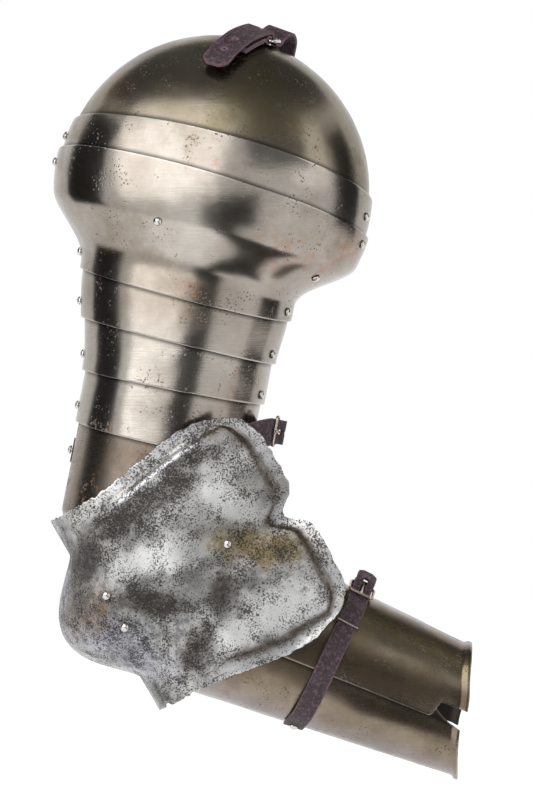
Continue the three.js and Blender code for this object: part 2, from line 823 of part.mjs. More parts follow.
const wristAt = (turn) => forearmLength - wristHalfWidth * Math.tan(wristSlant) * Math.cos(turn);
const seamTurn = (x) => rightAngle + Math.asin(
  (seamDrop / mix(forearmHalfWidth, wristHalfWidth, x / forearmLength)) ** (forearmPower / 2));

// The door: from the hinge on the inner side over the front to the seam on the outer side
function doorFace(u, v) {
  const turn = mix(hingeSeamTurn - 2 * halfTurn, rightAngle, u);
  const start = mix(doorElbowTop, doorElbowSeam, smooth(Math.abs(turn), 0, rightAngle));
  const x = mix(start, wristAt(turn), v);
  const shifted = u * (seamTurn(x) - rightAngle) + turn;
  return forearmPoint(shifted, x, 0);
}

// The rear plate: from under the door's edge round the back to the hinge
function rearFace(u, v) {
  const x0 = rearElbowStart(mix(rightAngle, hingeSeamTurn, u));
  const x = mix(x0, wristAt(mix(rightAngle, hingeSeamTurn, u)), v);
  const gape = smooth(x, forearmLength - wristGapeLength, forearmLength);
  const from = seamTurn(x) + (gape * wristGape - (1 - gape) * seamLap) / forearmHalfWidth;
  const turn = mix(from, hingeSeamTurn - hingeGapTurn, u);
  const inset = layerStep * (1 - smooth(turn, hingeSeamTurn - rightAngle, hingeSeamTurn));
  return forearmPoint(turn, x, inset);
}

// Behind the seam the rear plate reaches back to the elbow rivets on both sides.
function rearElbowStart(turn) {
  const z = forearmPoint(turn, 0, layerStep).z;
  const tongue = Math.exp(-(((z + forearmPivotDrop) / tongueHalfWidth) ** 2));
  const plain = z > -forearmPivotDrop
    ? mix(rearElbowFoot, doorElbowSeam, smooth(z, -forearmPivotDrop, 0))
    : rearElbowFoot;
  return mix(plain, -tongueReach, tongue);
}

arm.updateMatrixWorld(true);
const lowerPair = elbowRivetSpots.slice(2).map((spot) => ({
  place: spot.place.clone().applyMatrix4(new THREE.Matrix4().compose(
    forearm.position, forearm.quaternion, vector(1, 1, 1)).invert()),
  out: spot.out,
}));
const rearGeometry = drilled(sheet(flipped(rearFace), rearColumns, rearRows, plateGauge), lowerPair);
forearm.add(mesh("forearm_rear_plate", rearGeometry, steel));
const doorGeometry = notched(sheet(flipped(doorFace), doorColumns, doorRows, plateGauge));
forearm.add(mesh("forearm_front_plate", doorGeometry, steel));

// The door's seam edge steps back for its last few millimetres at the wrist.
function notched(door) {
  const cut = boxSolid(forearmLength - notchLength, forearmLength + notchLength,
    -forearmHalfDepth, -wristHalfDepth / 2, -forearmHalfWidth, notchRise - seamDrop);
  return geometryOf(solidOf(door).subtract(cut));
}

// Leathers inside the arm, run down the rear and the front under every plate's edge
const levelAt = (turn, height) => {
  let level = 0;
  footEdges.forEach((edge) => {
    const top = edgeHeight(edge, turn) + lameLap;
    level += 1 - smooth(height, top + leatherRamp / 4, top + leatherRamp);
  });
  return level;
};

function innerLeather(name, turnAt, from, to) {
  const plate = (u, v) => {
    const height = mix(from, to, v);
    const turn = turnAt(height) + (u - 0.5) * (leatherWidth / armDepth);
    return mainPoint(turn, height, levelAt(turnAt(height), height) * layerStep);
  };
  const face = (u, v) => {
    const { place, out } = spotOn(plate, u, v);
    return place.addScaledVector(out, -plateGauge - leatherSlack);
  };
  const geometry = sheet(face, 1, leatherSteps, leatherThickness);
  return mesh(name, geometry, tanLeather);
}

const pivotTurnFront = halfTurn - pivotFrontTurn;
const frontTurnAt = (height) =>
  mix(leatherRivetTurn, pivotTurnFront, smooth(-height, leatherRivetDrop, armFrontTopDrop));
const leatherFoot = edgeHeight(lowerLameEdge, 0) + pivotRearRise - leatherTail;
const rearHoles = armPivots.map((pair) => pair[0]);
const frontHoles = [frontLeatherSpot, ...armPivots.map((pair) => pair[1])];
const rearLeather = innerLeather("rear_leather", () => pivotRearTurn,
  edgeHeight(mainFootEdge, 0) + pivotRearRise + leatherTail, leatherFoot);
const frontLeather = innerLeather("front_leather", frontTurnAt,
  -leatherRivetDrop + leatherTail, leatherFoot);
rearLeather.geometry = drilled(rearLeather.geometry, rearHoles);
frontLeather.geometry = drilled(frontLeather.geometry, frontHoles);
arm.add(rearLeather, frontLeather);

// Hinges on the inner side of the forearm: two leaves round one pin, each riveted to its plate
function hinge(name, x) {
  const seam = forearmPoint(hingeSeamTurn, x, 0);
  const group = new THREE.Group();
  const next = forearmPoint(hingeSeamTurn, x + hingeLength, 0);
  group.position.set(x, seam.y + hingeKnuckleRadius + hingeLift, seam.z);
  group.quaternion.setFromUnitVectors(vector(1, 0, 0), next.sub(seam).normalize());
  const knuckle = (from, to, bore) => {
    const ring = new THREE.CylinderGeometry(hingeKnuckleRadius, hingeKnuckleRadius, to - from, roundSides);
    ring.rotateZ(rightAngle);
    ring.translate((from + to) / 2, 0, 0);
    const hole = new THREE.CylinderGeometry(bore, bore, hingeLength * 2, roundSides);
    hole.rotateZ(rightAngle);
    return { ring: solidOf(ring), hole: solidOf(hole) };
  };
  const third = hingeLength / 3;
  const leaf = (side, spans) => {
    const plate = new THREE.BoxGeometry(hingeLength, hingeLeafGauge, hingeLeafWidth);
    const reach = side * (hingeLeafWidth / 2 + hingeLeafGap);
    plate.translate(0, -hingeKnuckleRadius + hingeLeafGauge / 2, reach);
    let solid = solidOf(plate);
    spans.forEach(([from, to]) => {
      const { ring } = knuckle(from, to, 1);
      const web = new THREE.BoxGeometry(to - from, hingeLeafGauge, hingeLeafGap + hingeLeafGauge);
      web.translate((from + to) / 2, -hingeKnuckleRadius + hingeLeafGauge / 2,
        side * (hingeLeafGap + hingeLeafGauge) / 2);
      solid = solid.add(ring).add(solidOf(web));
    });
    return geometryOf(solid.subtract(knuckle(0, 1, hingePinRadius + hingeFit).hole));
  };
  const outerSpans = [[-hingeLength / 2, -third / 2 - hingeFit], [third / 2 + hingeFit, hingeLength / 2]];
  const middleSpan = [[-third / 2 + hingeFit, third / 2 - hingeFit]];
  group.updateMatrix();
  const riveted = (side, end, spans, plateName) => {
    const reach = side * (hingeLeafWidth / 2 + hingeLeafGap);
    const spot = { place: vector(0, hingeLeafGauge - hingeKnuckleRadius, reach), out: vector(0, 1, 0) };
    const onPlate = {
      place: spot.place.clone().applyMatrix4(group.matrix),
      out: spot.out.clone().transformDirection(group.matrix),
    };
    const stack = onPlate.place.y - forearmDepthAt(x, onPlate.place.z, 0) + plateGauge;
    group.add(mesh(`${name}_${end}_leaf`, drilled(leaf(side, spans), [spot]), steel));
    group.add(rivet(`${name}_${end}_rivet`, spot, stack));
    drillInto(forearm, plateName, [onPlate]);
  };
  riveted(1, "door", outerSpans, "forearm_front_plate");
  riveted(-1, "rear", middleSpan, "forearm_rear_plate");
  const pin = new THREE.CylinderGeometry(hingePinRadius, hingePinRadius, hingeLength + 2 * hingeFit, 8);
  pin.rotateZ(rightAngle);
  group.add(mesh(`${name}_pin`, geometryOf(solidOf(pin)), rivetSteel));
  return group;
}

forearm.add(hinge("upper_hinge", upperHingePlace), hinge("lower_hinge", lowerHingePlace));

// Buckles. In a buckle's own frame +X runs from the fixed bar to the far bar, +Y along the bars
// and +Z out of the strap. The chape folds round the fixed bar and runs off along -X.
function roundedOutline(target, x0, x1, halfWidth, corner) {
  target.moveTo(x0 + corner, -halfWidth);
  target.lineTo(x1 - corner, -halfWidth);
  target.absarc(x1 - corner, -halfWidth + corner, corner, -rightAngle, 0);
  target.lineTo(x1, halfWidth - corner);
  target.absarc(x1 - corner, halfWidth - corner, corner, 0, rightAngle);
  target.lineTo(x0 + corner, halfWidth);
  target.absarc(x0 + corner, halfWidth - corner, corner, rightAngle, halfTurn);
  target.lineTo(x0, -halfWidth + corner);
  target.absarc(x0 + corner, -halfWidth + corner, corner, halfTurn, halfTurn + rightAngle);
  return target;
}

function frameGeometry(length, width) {
  const reach = buckleWire / 2;
  const outer = roundedOutline(
    new THREE.Shape(), -reach, length + reach, width / 2 + buckleWire, buckleCornerShare * buckleWire);
  outer.holes.push(roundedOutline(
    new THREE.Path(), reach, length - reach, width / 2, buckleWire / 2));
  const geometry = new THREE.ExtrudeGeometry(
    outer, { depth: buckleWire, bevelEnabled: false, curveSegments: cornerSteps });
  geometry.translate(0, 0, -reach);
  return geometryOf(solidOf(geometry));
}

function barRing(outer, inner, width) {
  const make = (radius, length) => {
    const round = new THREE.CylinderGeometry(radius, radius, length, roundSides);
    return solidOf(round);
  };
  return make(outer, width).subtract(make(inner, 2 * width));
}

function boxSolid(x0, x1, y0, y1, z0, z1) {
  const box = new THREE.BoxGeometry(x1 - x0, y1 - y0, z1 - z0);
  box.translate((x0 + x1) / 2, (y0 + y1) / 2, (z0 + z1) / 2);
  return solidOf(box);
}

const barEye = (buckleWire / 2) * Math.SQRT2 + buckleFit;
const tongueOuter = barEye + tongueGauge;
const foldOuter = barEye + chapeThickness;

function tongueGeometry(length) {
  const low = buckleWire / 2 + seatGap;
  const arm = boxSolid(barEye, length + buckleWire, -tongueWidth / 2, tongueWidth / 2,
    low, low + tongueGauge);
  return geometryOf(barRing(tongueOuter, barEye, tongueWidth).add(arm));
}

// The folded end of a chape, slotted for the tongue
function foldSolid(length, width) {
  const half = width / 2;
  const slot = tongueWidth / 2 + buckleFit;
  const slab = boxSolid(-length, -barEye, -half, half, -chapeThickness, chapeThickness);
  const cut = boxSolid(-foldOuter - buckleFit, foldOuter * 2, -slot, slot, -foldOuter * 2, foldOuter * 2);
  return barRing(foldOuter, barEye, width).add(slab)
    .subtract(solidOf(new THREE.CylinderGeometry(barEye, barEye, width * 2, roundSides)))
    .subtract(cut);
}

function buckle(name, place, along, out, material, width, length) {
  const group = new THREE.Group();
  const z = out.clone().normalize();
  const x = along.clone().addScaledVector(z, -along.dot(z)).normalize();
  const basis = new THREE.Matrix4().makeBasis(x, z.clone().cross(x), z);
  group.quaternion.setFromRotationMatrix(basis);
  group.position.copy(place);
  group.add(mesh(`${name}_buckle_frame`, frameGeometry(length, width + 4 * buckleFit), material));
  group.add(mesh(`${name}_buckle_tongue`, tongueGeometry(length), material));
  return group;
}

// A billet threads under the far bar and over the fixed one, with a hole for the tongue.
const underFar = -buckleWire / 2 - strapThickness / 2 - 3 * seatGap;
const overFixed = foldOuter + strapThickness / 2 + 2 * seatGap;
const threadPoints = (length) => [
  vector(length + 2 * buckleWire, 0, underFar),
  vector(length, 0, underFar),
  vector(length / 2, 0, (underFar + overFixed) / 2),
  vector(buckleWire, 0, overFixed),
  vector(-buckleWire, 0, overFixed),
];

function billet(points, sides, steps, wide) {
  const curve = new THREE.CatmullRomCurve3(points, false, "centripetal");
  const places = (share) => {
    const at = curve.getPointAt(share);
    const along = curve.getTangentAt(share);
    const guess = sides(at);
    const out = along.clone().cross(guess).normalize();
    const side = out.clone().cross(along).normalize();
    const fromTip = curve.getLength() * (1 - share);
    const width = wide * Math.min(1, tipShare + (1 - tipShare) * fromTip / (wide / 2));
    return { at, side, out, width };
  };
  return strip(places, steps, wide, strapThickness);
}

// The slot that the tongue stands up through
function slotted(geometry, group, length) {
  const half = tongueWidth / 2 + buckleFit;
  const slot = boxSolid(-slotBack, length * slotShare, -half, half, -length, length);
  return geometryOf(solidOf(geometry).subtract(slot.transform(group.matrix.elements)));
}

// Shoulder strap: its chape is riveted on the cap, its billet comes over the top edge.
const capRadius = ballRadius - 2 * layerStep;
const capDepth = ballDepth - 2 * layerStep;
const capOut = (place) => vector(
  place.x / capRadius ** 2, place.y / capDepth ** 2, place.z / capRadius ** 2).normalize();
function onCap(x, y, lift) {
  const level = Math.sqrt(Math.max(0, 1 - (y / capDepth) ** 2 - (x / capRadius) ** 2));
  const place = vector(x, y, capRadius * level);
  return place.addScaledVector(capOut(place), lift);
}

const barLift = foldOuter + seatGap;
const tabLift = chapeThickness + 3 * seatGap;
const tipLift = tabLift + chapeThickness + rivetHeadHeight + strapThickness / 2 + 4 * seatGap;
const shoulderBar = onCap(shoulderBarX, shoulderBarY, barLift);
const shoulderAlong = vector(Math.sin(strapSkew), Math.cos(strapSkew), 0);
const shoulderBuckle = buckle(
  "shoulder", shoulderBar, shoulderAlong, capOut(shoulderBar), nickel, shoulderStrapWidth, frameLength);
shoulderBuckle.updateMatrix();

// Chape folds: the shoulder and forearm ones end in a riveted tab that follows the plate.
function chape(name, group, tabPoints, sides, width, thickness, steps) {
  group.updateMatrix();
  const fold = foldSolid(foldLength, width).transform(group.matrix.elements);
  const curve = new THREE.CatmullRomCurve3(tabPoints, false, "centripetal");
  const places = (share) => {
    const at = curve.getPointAt(share);
    const along = curve.getTangentAt(share);
    const out = along.clone().cross(sides(at)).normalize();
    return { at, out, side: out.clone().cross(along).normalize() };
  };
  const tab = strip(places, steps, width, thickness);
  return mesh(name, geometryOf(fold.add(solidOf(tab))), purpleLeather);
}

const inBuckle = (group, point) => point.clone().applyMatrix4(group.matrix);
const buckleSide = (group) => vector(0, 1, 0).transformDirection(group.matrix);

function onCapFromBar(distance, lift) {
  const x = shoulderBar.x - distance * Math.sin(strapSkew);
  const y = shoulderBar.y - distance * Math.cos(strapSkew) * Math.cos(strapFall * distance);
  return onCap(x, y, lift);
}

shoulder.add(shoulderBuckle);
const shoulderTab = [
  foldLength - buckleWire, foldLength + shoulderStrapWidth / 2, foldLength + shoulderStrapWidth,
].map((distance) => onCapFromBar(distance, tabLift));
const shoulderTabFrom = inBuckle(shoulderBuckle, vector(-foldLength + buckleWire, 0, 0));
const shoulderSide = buckleSide(shoulderBuckle);
shoulder.add(chape("shoulder_chape", shoulderBuckle, [shoulderTabFrom, ...shoulderTab.slice(1)],
  () => shoulderSide, shoulderStrapWidth, 2 * chapeThickness, tabSteps));
const shoulderChapeSpot = spotOn((u, v) => onCap(
  shoulderTab[1].x + u, shoulderTab[1].y - v, 0), 0, 0);
drillInto(shoulder, "shoulder_cap", [shoulderChapeSpot]);
drillInto(shoulder, "shoulder_chape", [shoulderChapeSpot]);
shoulder.add(rivet("shoulder_chape_rivet", raised(shoulderChapeSpot, tabLift + chapeThickness),
  tabLift + chapeThickness + plateGauge));
const shoulderThread = threadPoints(frameLength).map((point) => inBuckle(shoulderBuckle, point));
const shoulderBilletPoints = [
  [1, -loopDrop], [loopShares[0], 0], [loopShares[1], loopRise], [loopShares[2], loopRise * loopDipShare],
].map(([share, z]) => inBuckle(shoulderBuckle, vector(frameLength + loopLength * share, 0, z)));
const shoulderTip = tipShares.map((share) =>
  onCapFromBar(share * billetReach, tipLift));
const shoulderBillet = billet(
  [...shoulderBilletPoints, ...shoulderThread, ...shoulderTip],
  () => shoulderSide, shoulderBilletSteps, shoulderStrapWidth);
shoulder.add(mesh("shoulder_billet", slotted(shoulderBillet, shoulderBuckle, frameLength), purpleLeather));

// Arm strap: it closes the cannon round the inner side of the arm and crosses the lowest lame.
function strapHeightAt(turn) {
  const climb = turn < armBuckleTurn
    ? smooth(turn, armRootTurn - armRootTail, armBuckleTurn - armFrameTurn)
    : Math.exp(-(((turn - armBuckleTurn) / armClimbTurn) ** 2));
  return armStrapClimb * climb - armStrapDrop;
}

function armBand(turn, lift) {
  const height = strapHeightAt(turn);
  const climbed = height + armStrapDrop;
  const overLame = smooth(climbed, lameCrossingStart, lameCrossingEnd) * layerStep;
  return mainPoint(turn, height, 4 * layerStep - overLame - armStrapLift - lift);
}

function slackLift(turn) {
  return armStrapSlack * Math.exp(-(((turn - armBuckleTurn) / armSlackTurn) ** 2));
}

const bandRoot = strapThickness / 2 + seatGap;
const armBar = armBand(armBuckleTurn, bandRoot + armStrapSlack);
const armFar = armBand(armBuckleTurn - armFrameTurn, bandRoot + slackLift(armBuckleTurn - armFrameTurn));
const armAlong = armFar.clone().sub(armBar);
const armBuckle = buckle("arm", armBar, armAlong, armBar.clone().setZ(0), brass, armStrapWidth, frameLength);
arm.add(armBuckle);
armBuckle.updateMatrix();
const armThread = threadPoints(frameLength).map((point) => inBuckle(armBuckle, point));
const armRootSpot = spotOn((u, v) => mainPoint(plateTurn(u, armWrap), strapHeightAt(armRootTurn) - v,
  4 * layerStep), turnShare(armRootTurn, armWrap), 0);
const armRun = armRunShares.map((share) => {
  const turn = mix(armRootTurn - armRootTail, armBuckleTurn - armFrameTurn, share);
  return armBand(turn, bandRoot + slackLift(turn));
});
const armTip = inBuckle(armBuckle, vector(-armTipReach, 0, overFixed - strapThickness));
const armSide = (at) => {
  const side = buckleSide(armBuckle);
  const away = smooth(at.distanceTo(armBuckle.position), frameLength, armSideReach);
  return side.lerp(vector(0, 0, Math.sign(side.z)), away);
};
const armBilletPoints = [...armRun, ...armThread, armTip];
const armBillet = billet(armBilletPoints, armSide, armBilletSteps, armStrapWidth);
const armBilletHoled = drilled(slotted(armBillet, armBuckle, frameLength), [armRootSpot]);
arm.add(mesh("arm_billet", armBilletHoled, purpleLeather));

const armChapeSpot = spotOn((u, v) => mainPoint(plateTurn(u, armWrap), strapHeightAt(armChapeTurn) - v,
  4 * layerStep), turnShare(armChapeTurn, armWrap), 0);
const armChapeRun = armChapeShares.map((share) => {
  const turn = mix(armBuckleTurn + armFrameTurn, 2 * halfTurn + armChapeTurn + armChapeTail, share);
  return armBand(turn, bandRoot + slackLift(turn) + medialSlack * Math.sin(share * halfTurn));
});
const armChapeFrom = inBuckle(armBuckle, vector(-foldLength + buckleWire, 0, 0));
const armChape = chape("arm_chape", armBuckle, [armChapeFrom, ...armChapeRun], armSide,
  armStrapWidth, strapThickness, armChapeSteps);
armChape.geometry = drilled(armChape.geometry, [armChapeSpot]);
arm.add(armChape);
drillInto(arm, "upper_cannon", [armRootSpot, armChapeSpot]);
const strapAndPlate = strapThickness + plateGauge;
arm.add(rivet("arm_billet_rivet", raised(armRootSpot, strapThickness + 2 * seatGap), strapAndPlate));
arm.add(rivet("arm_chape_rivet", raised(armChapeSpot, strapThickness + seatGap), strapAndPlate));

// Forearm strap: it shuts the door, from a rivet on the rear plate to a buckle on the door.
const onDoor = (turn, x, lift) => {
  const { place, out } = spotOn((u, v) => forearmPoint(turn - u, x + v, 0), 0, 0);
  return place.addScaledVector(out, lift);
};
const doorBarLift = foldOuter + seatGap + doorBuckleRise;
const doorBar = onDoor(doorBuckleTurn, doorBuckleX, doorBarLift);
const doorFar = onDoor(doorBuckleTurn + doorFrameTurn, doorBuckleX, doorBarLift);
const doorOut = onDoor(doorBuckleTurn + doorFrameTurn / 2, doorBuckleX, 1)
  .sub(onDoor(doorBuckleTurn + doorFrameTurn / 2, doorBuckleX, 0));
const doorBuckle = buckle("forearm", doorBar, doorFar.clone().sub(doorBar), doorOut, brass,
  doorStrapWidth, doorFrameLength);
forearm.add(doorBuckle);
doorBuckle.updateMatrix();
const doorThread = threadPoints(doorFrameLength).map((point) => inBuckle(doorBuckle, point));
const doorShares = Array.from({ length: doorRunSteps + 1 }, (entry, step) => step / doorRunSteps);
const doorRun = doorShares.map((share) => {
  const turn = mix(doorRootTurn + doorRootTail, doorBuckleTurn + doorFrameTurn * runEndShare, share);
  const x = mix(doorRootX, doorBuckleX, share);
  const rise = smooth(share, keeperRiseStart, keeperRiseEnd) * keeperWire * 2;
  const step = layerStep * (1 - smooth(share, seamRiseStart, seamRiseEnd));
  return onDoor(turn, x, bandRoot + strapLift + rise - step);
});
const doorTip = inBuckle(doorBuckle, vector(-doorTipReach, 0, overFixed + seatGap));
const depthSlope = (wristHalfDepth - forearmHalfDepth) / forearmLength;
const widthSlope = (wristHalfWidth - forearmHalfWidth) / forearmLength;
const doorSide = (at) => vector(1, at.y * depthSlope / (forearmHalfDepth + depthSlope * at.x),
  at.z * widthSlope / (forearmHalfWidth + widthSlope * at.x));
const doorBilletPoints = [...doorRun, ...doorThread, doorTip];
const doorBillet = billet(doorBilletPoints, doorSide, doorBilletSteps, doorStrapWidth);

// The keeper is a wire loop round the strap, next to the buckle.
const keeperStep = Math.round(keeperShare * doorRunSteps);
const keeperAlong = doorRun[keeperStep + 1].clone().sub(doorRun[keeperStep - 1]).normalize();
const keeperOut = keeperAlong.clone().cross(doorSide(doorRun[keeperStep])).normalize();
const keeperFrame = new THREE.Matrix4().makeBasis(
  keeperAlong, keeperOut.clone().cross(keeperAlong), keeperOut).setPosition(doorRun[keeperStep]);
const keeperRing = (half, rise, length) => boxSolid(-length, length, -half, half, -rise, rise);
const keeperHalf = doorStrapWidth / 2 + seatGap;
const keeperRise = strapThickness / 2 + seatGap;
const keeperSolid = keeperRing(keeperHalf + keeperWire, keeperRise + keeperWire, keeperWire)
  .subtract(keeperRing(keeperHalf, keeperRise, 2 * keeperWire));
forearm.add(mesh("forearm_keeper", geometryOf(keeperSolid.transform(keeperFrame.elements)), brass));

const doorRootSpot = spotOn((u, v) => forearmPoint(doorRootTurn - u, doorRootX + v, layerStep), 0, 0);
const doorBilletHoled = drilled(slotted(doorBillet, doorBuckle, doorFrameLength), [doorRootSpot]);
forearm.add(mesh("forearm_billet", doorBilletHoled, purpleLeather));
drillInto(forearm, "forearm_rear_plate", [doorRootSpot]);
forearm.add(rivet("forearm_strap_rivet", raised(doorRootSpot, strapThickness + 2 * seatGap), strapAndPlate));
const doorTabTurns = doorTabShares.map((share) => doorBuckleTurn - share * doorTabTurn);
const doorTab = doorTabTurns.map((turn) => onDoor(turn, doorBuckleX, tabLift));
const doorTabFrom = inBuckle(doorBuckle, vector(-foldLength + buckleWire, 0, 0));
const doorChapeSpot = spotOn(
  (u, v) => forearmPoint(doorTabTurns[1] - u, doorBuckleX + v, 0), 0, 0);
const doorChape = chape("forearm_chape", doorBuckle, [doorTabFrom, ...doorTab], doorSide,
  doorStrapWidth, 2 * chapeThickness, tabSteps);
doorChape.geometry = drilled(doorChape.geometry, [doorChapeSpot]);
forearm.add(doorChape);
drillInto(forearm, "forearm_front_plate", [doorChapeSpot]);
forearm.add(rivet("forearm_chape_rivet", raised(doorChapeSpot, 2 * chapeThickness + 3 * seatGap),
  2 * chapeThickness + plateGauge));

// The whole harness is set so that the strap's loop, where it hangs, is the origin.
const harness = new THREE.Group();
harness.add(shoulder, arm);
shoulder.updateMatrix();
const hang = inBuckle(shoulderBuckle, vector(frameLength + loopLength * loopShares[1], 0, loopRise))
  .applyMatrix4(shoulder.matrix);
harness.position.copy(hang.negate());
export default harness;
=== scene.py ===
# %% [markdown]
# # Plate arm harness
# The right arm of an armour: a shoulder cap, plates that slide over one another down the upper arm,
# a winged elbow plate and a forearm tube in two halves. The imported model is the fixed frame, and every
# piece made here is placed on it, in metres, with the same axes.

# %% Load the frame
import json
import math

import bpy
import numpy
from mathutils import Matrix, Vector, noise
from mathutils.kdtree import KDTree


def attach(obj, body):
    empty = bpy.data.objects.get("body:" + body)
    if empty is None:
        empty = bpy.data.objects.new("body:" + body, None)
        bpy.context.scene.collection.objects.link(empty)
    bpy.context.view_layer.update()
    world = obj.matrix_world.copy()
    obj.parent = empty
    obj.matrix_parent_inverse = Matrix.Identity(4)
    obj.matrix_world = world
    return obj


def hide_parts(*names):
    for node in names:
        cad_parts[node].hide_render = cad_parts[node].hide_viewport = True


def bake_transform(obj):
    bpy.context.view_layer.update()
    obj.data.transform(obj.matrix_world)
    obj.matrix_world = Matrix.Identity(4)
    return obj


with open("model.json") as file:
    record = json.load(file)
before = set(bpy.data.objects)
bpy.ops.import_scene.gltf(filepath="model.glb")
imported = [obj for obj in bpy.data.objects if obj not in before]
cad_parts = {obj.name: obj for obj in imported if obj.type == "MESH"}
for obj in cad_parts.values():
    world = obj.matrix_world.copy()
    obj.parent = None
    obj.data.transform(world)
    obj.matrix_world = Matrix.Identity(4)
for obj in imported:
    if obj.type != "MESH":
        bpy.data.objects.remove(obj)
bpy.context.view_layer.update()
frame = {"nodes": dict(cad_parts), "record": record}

# %% [markdown]
# ## Small sums
# The plates are drawn in millimetres, from the formulas that their solids follow. A smooth step is
# the curve that most of their bends are made of.

# %% Small sums
MM = 0.001
HALF = math.pi
QUARTER = math.pi / 2
degrees = math.radians


def mix(a, b, share):
    return a + (b - a) * share


def smooth(value, low, high):
    share = min(1, max(0, (value - low) / (high - low)))
    return share * share * (3 - 2 * share)


def signed_power(value, power):
    return math.copysign(abs(value) ** power, value)


def bell(value, width):
    return math.exp(-((value / width) ** 2))


# %% [markdown]
# ## Where the groups stand
# The shoulder plates tilt back a little more than the upper arm. The elbow plate turns against the arm,
# and the forearm against the elbow plate, so each has a frame of its own.

# %% Frames of the groups
SHOULDER_CENTRE = Vector((-46.4770, -13.2092, -112.2644))
SHOULDER_TILT = degrees(15.2)
ARM_TILT = degrees(11)
ELBOW_LIFT = degrees(30)
FOREARM_TILT = degrees(22)
ELBOW_SETBACK = 10.8
ELBOW_DROP = 300.6
PIVOT_SPREAD = 25.4
FOREARM_PIVOT_DROP = 29.6

shoulder_frame = Matrix.Translation(SHOULDER_CENTRE) @ Matrix.Rotation(SHOULDER_TILT, 4, "Y")
arm_frame = Matrix.Translation(SHOULDER_CENTRE) @ Matrix.Rotation(ARM_TILT, 4, "Y")
elbow_frame = (arm_frame @ Matrix.Translation((-ELBOW_SETBACK, 0, -ELBOW_DROP))
               @ Matrix.Rotation(-(ELBOW_LIFT + ARM_TILT), 4, "Y"))
forearm_turn = ELBOW_LIFT + FOREARM_TILT
forearm_place = Vector((
    FOREARM_PIVOT_DROP * math.sin(forearm_turn), 0,
    FOREARM_PIVOT_DROP * math.cos(forearm_turn) - PIVOT_SPREAD / 2))
forearm_frame = (elbow_frame @ Matrix.Translation(forearm_place)
                 @ Matrix.Rotation(forearm_turn, 4, "Y"))
print("elbow at", [round(value, 1) for value in elbow_frame.translation])

# %% [markdown]
# ## Forms of the plates
# Each form is a flattened ball or a rounded gutter. A plate is a window of it, between two edges.
# turn runs from the rear round the outside to the front, and inset takes a plate under another.

# %% Ball of the shoulder
GAUGE = 1.2
LAYER = 2.5
BALL_RADIUS = 113
BALL_DEPTH = 84
SHOULDER_WRAP = degrees(10)
ARM_WRAP = degrees(14)


def ball_point(turn, height, inset):
    radius = BALL_RADIUS - inset
    share = math.sqrt(max(0, 1 - (height / radius) ** 2))
    return Vector((
        -radius * share * math.cos(turn), -(BALL_DEPTH - inset) * share * math.sin(turn), height))


def plate_turn(u, wrap):
    return mix(-wrap, HALF + wrap, u)


def edge_height(edge, turn):
    drop, lean, bow = edge
    return -drop + lean * math.cos(turn) - bow * math.sin(turn)


# %% Gutter of the upper arm, and the bell between the two
REAR_REACH = (82.5, 72.5)
REAR_TAPER = (71, 141)
FRONT_REACH = (70, 67.5)
FRONT_TAPER = (80, 112)
ARM_DEPTH = 69.5
BELL_START = (36, 22)
BELL_END = 70


def arm_point(turn, height, inset):
    rear = mix(*REAR_REACH, smooth(-height, *REAR_TAPER))
    front = mix(*FRONT_REACH, smooth(-height, *FRONT_TAPER))
    reach = (rear if math.cos(turn) > 0 else front) - inset
    return Vector((-reach * math.cos(turn), -(ARM_DEPTH - inset) * math.sin(turn), height))


def main_point(turn, height, inset):
    start = mix(*BELL_START, (1 + math.cos(turn)) / 2)
    share = smooth(-height, start, BELL_END)
    ball = ball_point(turn, max(height, -BALL_RADIUS * 0.8), inset)
    arm = arm_point(turn, height, inset)
    return Vector((mix(ball.x, arm.x, share), mix(ball.y, arm.y, share), height))


# %% Edges of the plates: drop, lean and bow of each
LAME_TOP = (-20.5, 0, -16)
LAME_FOOT = (18, 0, -10)
MAIN_TOP = (4, 10.6, -12)
FOOT_EDGES = [
    (ELBOW_DROP * 0.2518, 4.5, 5.5), (ELBOW_DROP * 0.3613, 3.4, 2.9),
    (ELBOW_DROP * 0.4697, 0, 2.3), (ELBOW_DROP * 0.5922, 1, 4.5)]
LAME_LAP = 14


def lame_face(u, v):
    turn = plate_turn(u, SHOULDER_WRAP)
    return ball_point(turn, mix(edge_height(LAME_TOP, turn), edge_height(LAME_FOOT, turn), v), LAYER)


def main_face(u, v):
    turn = plate_turn(u, mix(SHOULDER_WRAP, ARM_WRAP, v))
    height = mix(edge_height(MAIN_TOP, turn), edge_height(FOOT_EDGES[0], turn), v)
    return main_point(turn, height, 0)


def arm_lame_face(level):
    def face(u, v):
        turn = plate_turn(u, ARM_WRAP)
        top = edge_height(FOOT_EDGES[level - 1], turn) + LAME_LAP
        return main_point(turn, mix(top, edge_height(FOOT_EDGES[level], turn), v), level * LAYER)
    return face


# %% [markdown]
# The cap is a bowl, so it is drawn from a middle point out to its rim. Where it meets the neck its
# edge is turned out into a narrow bright lip, which stiffens it.

# %% Cap of the shoulder
CAP_MIDDLE = degrees(55)
CAP_FOOT_SHARE = 0.5
CAP_FOOT = (-1, 0, -22)
CAP_LIP_WIDTH = 4.5
CAP_LIP_RISE = 1.5
CAP_FLATNESS = BALL_RADIUS / BALL_DEPTH


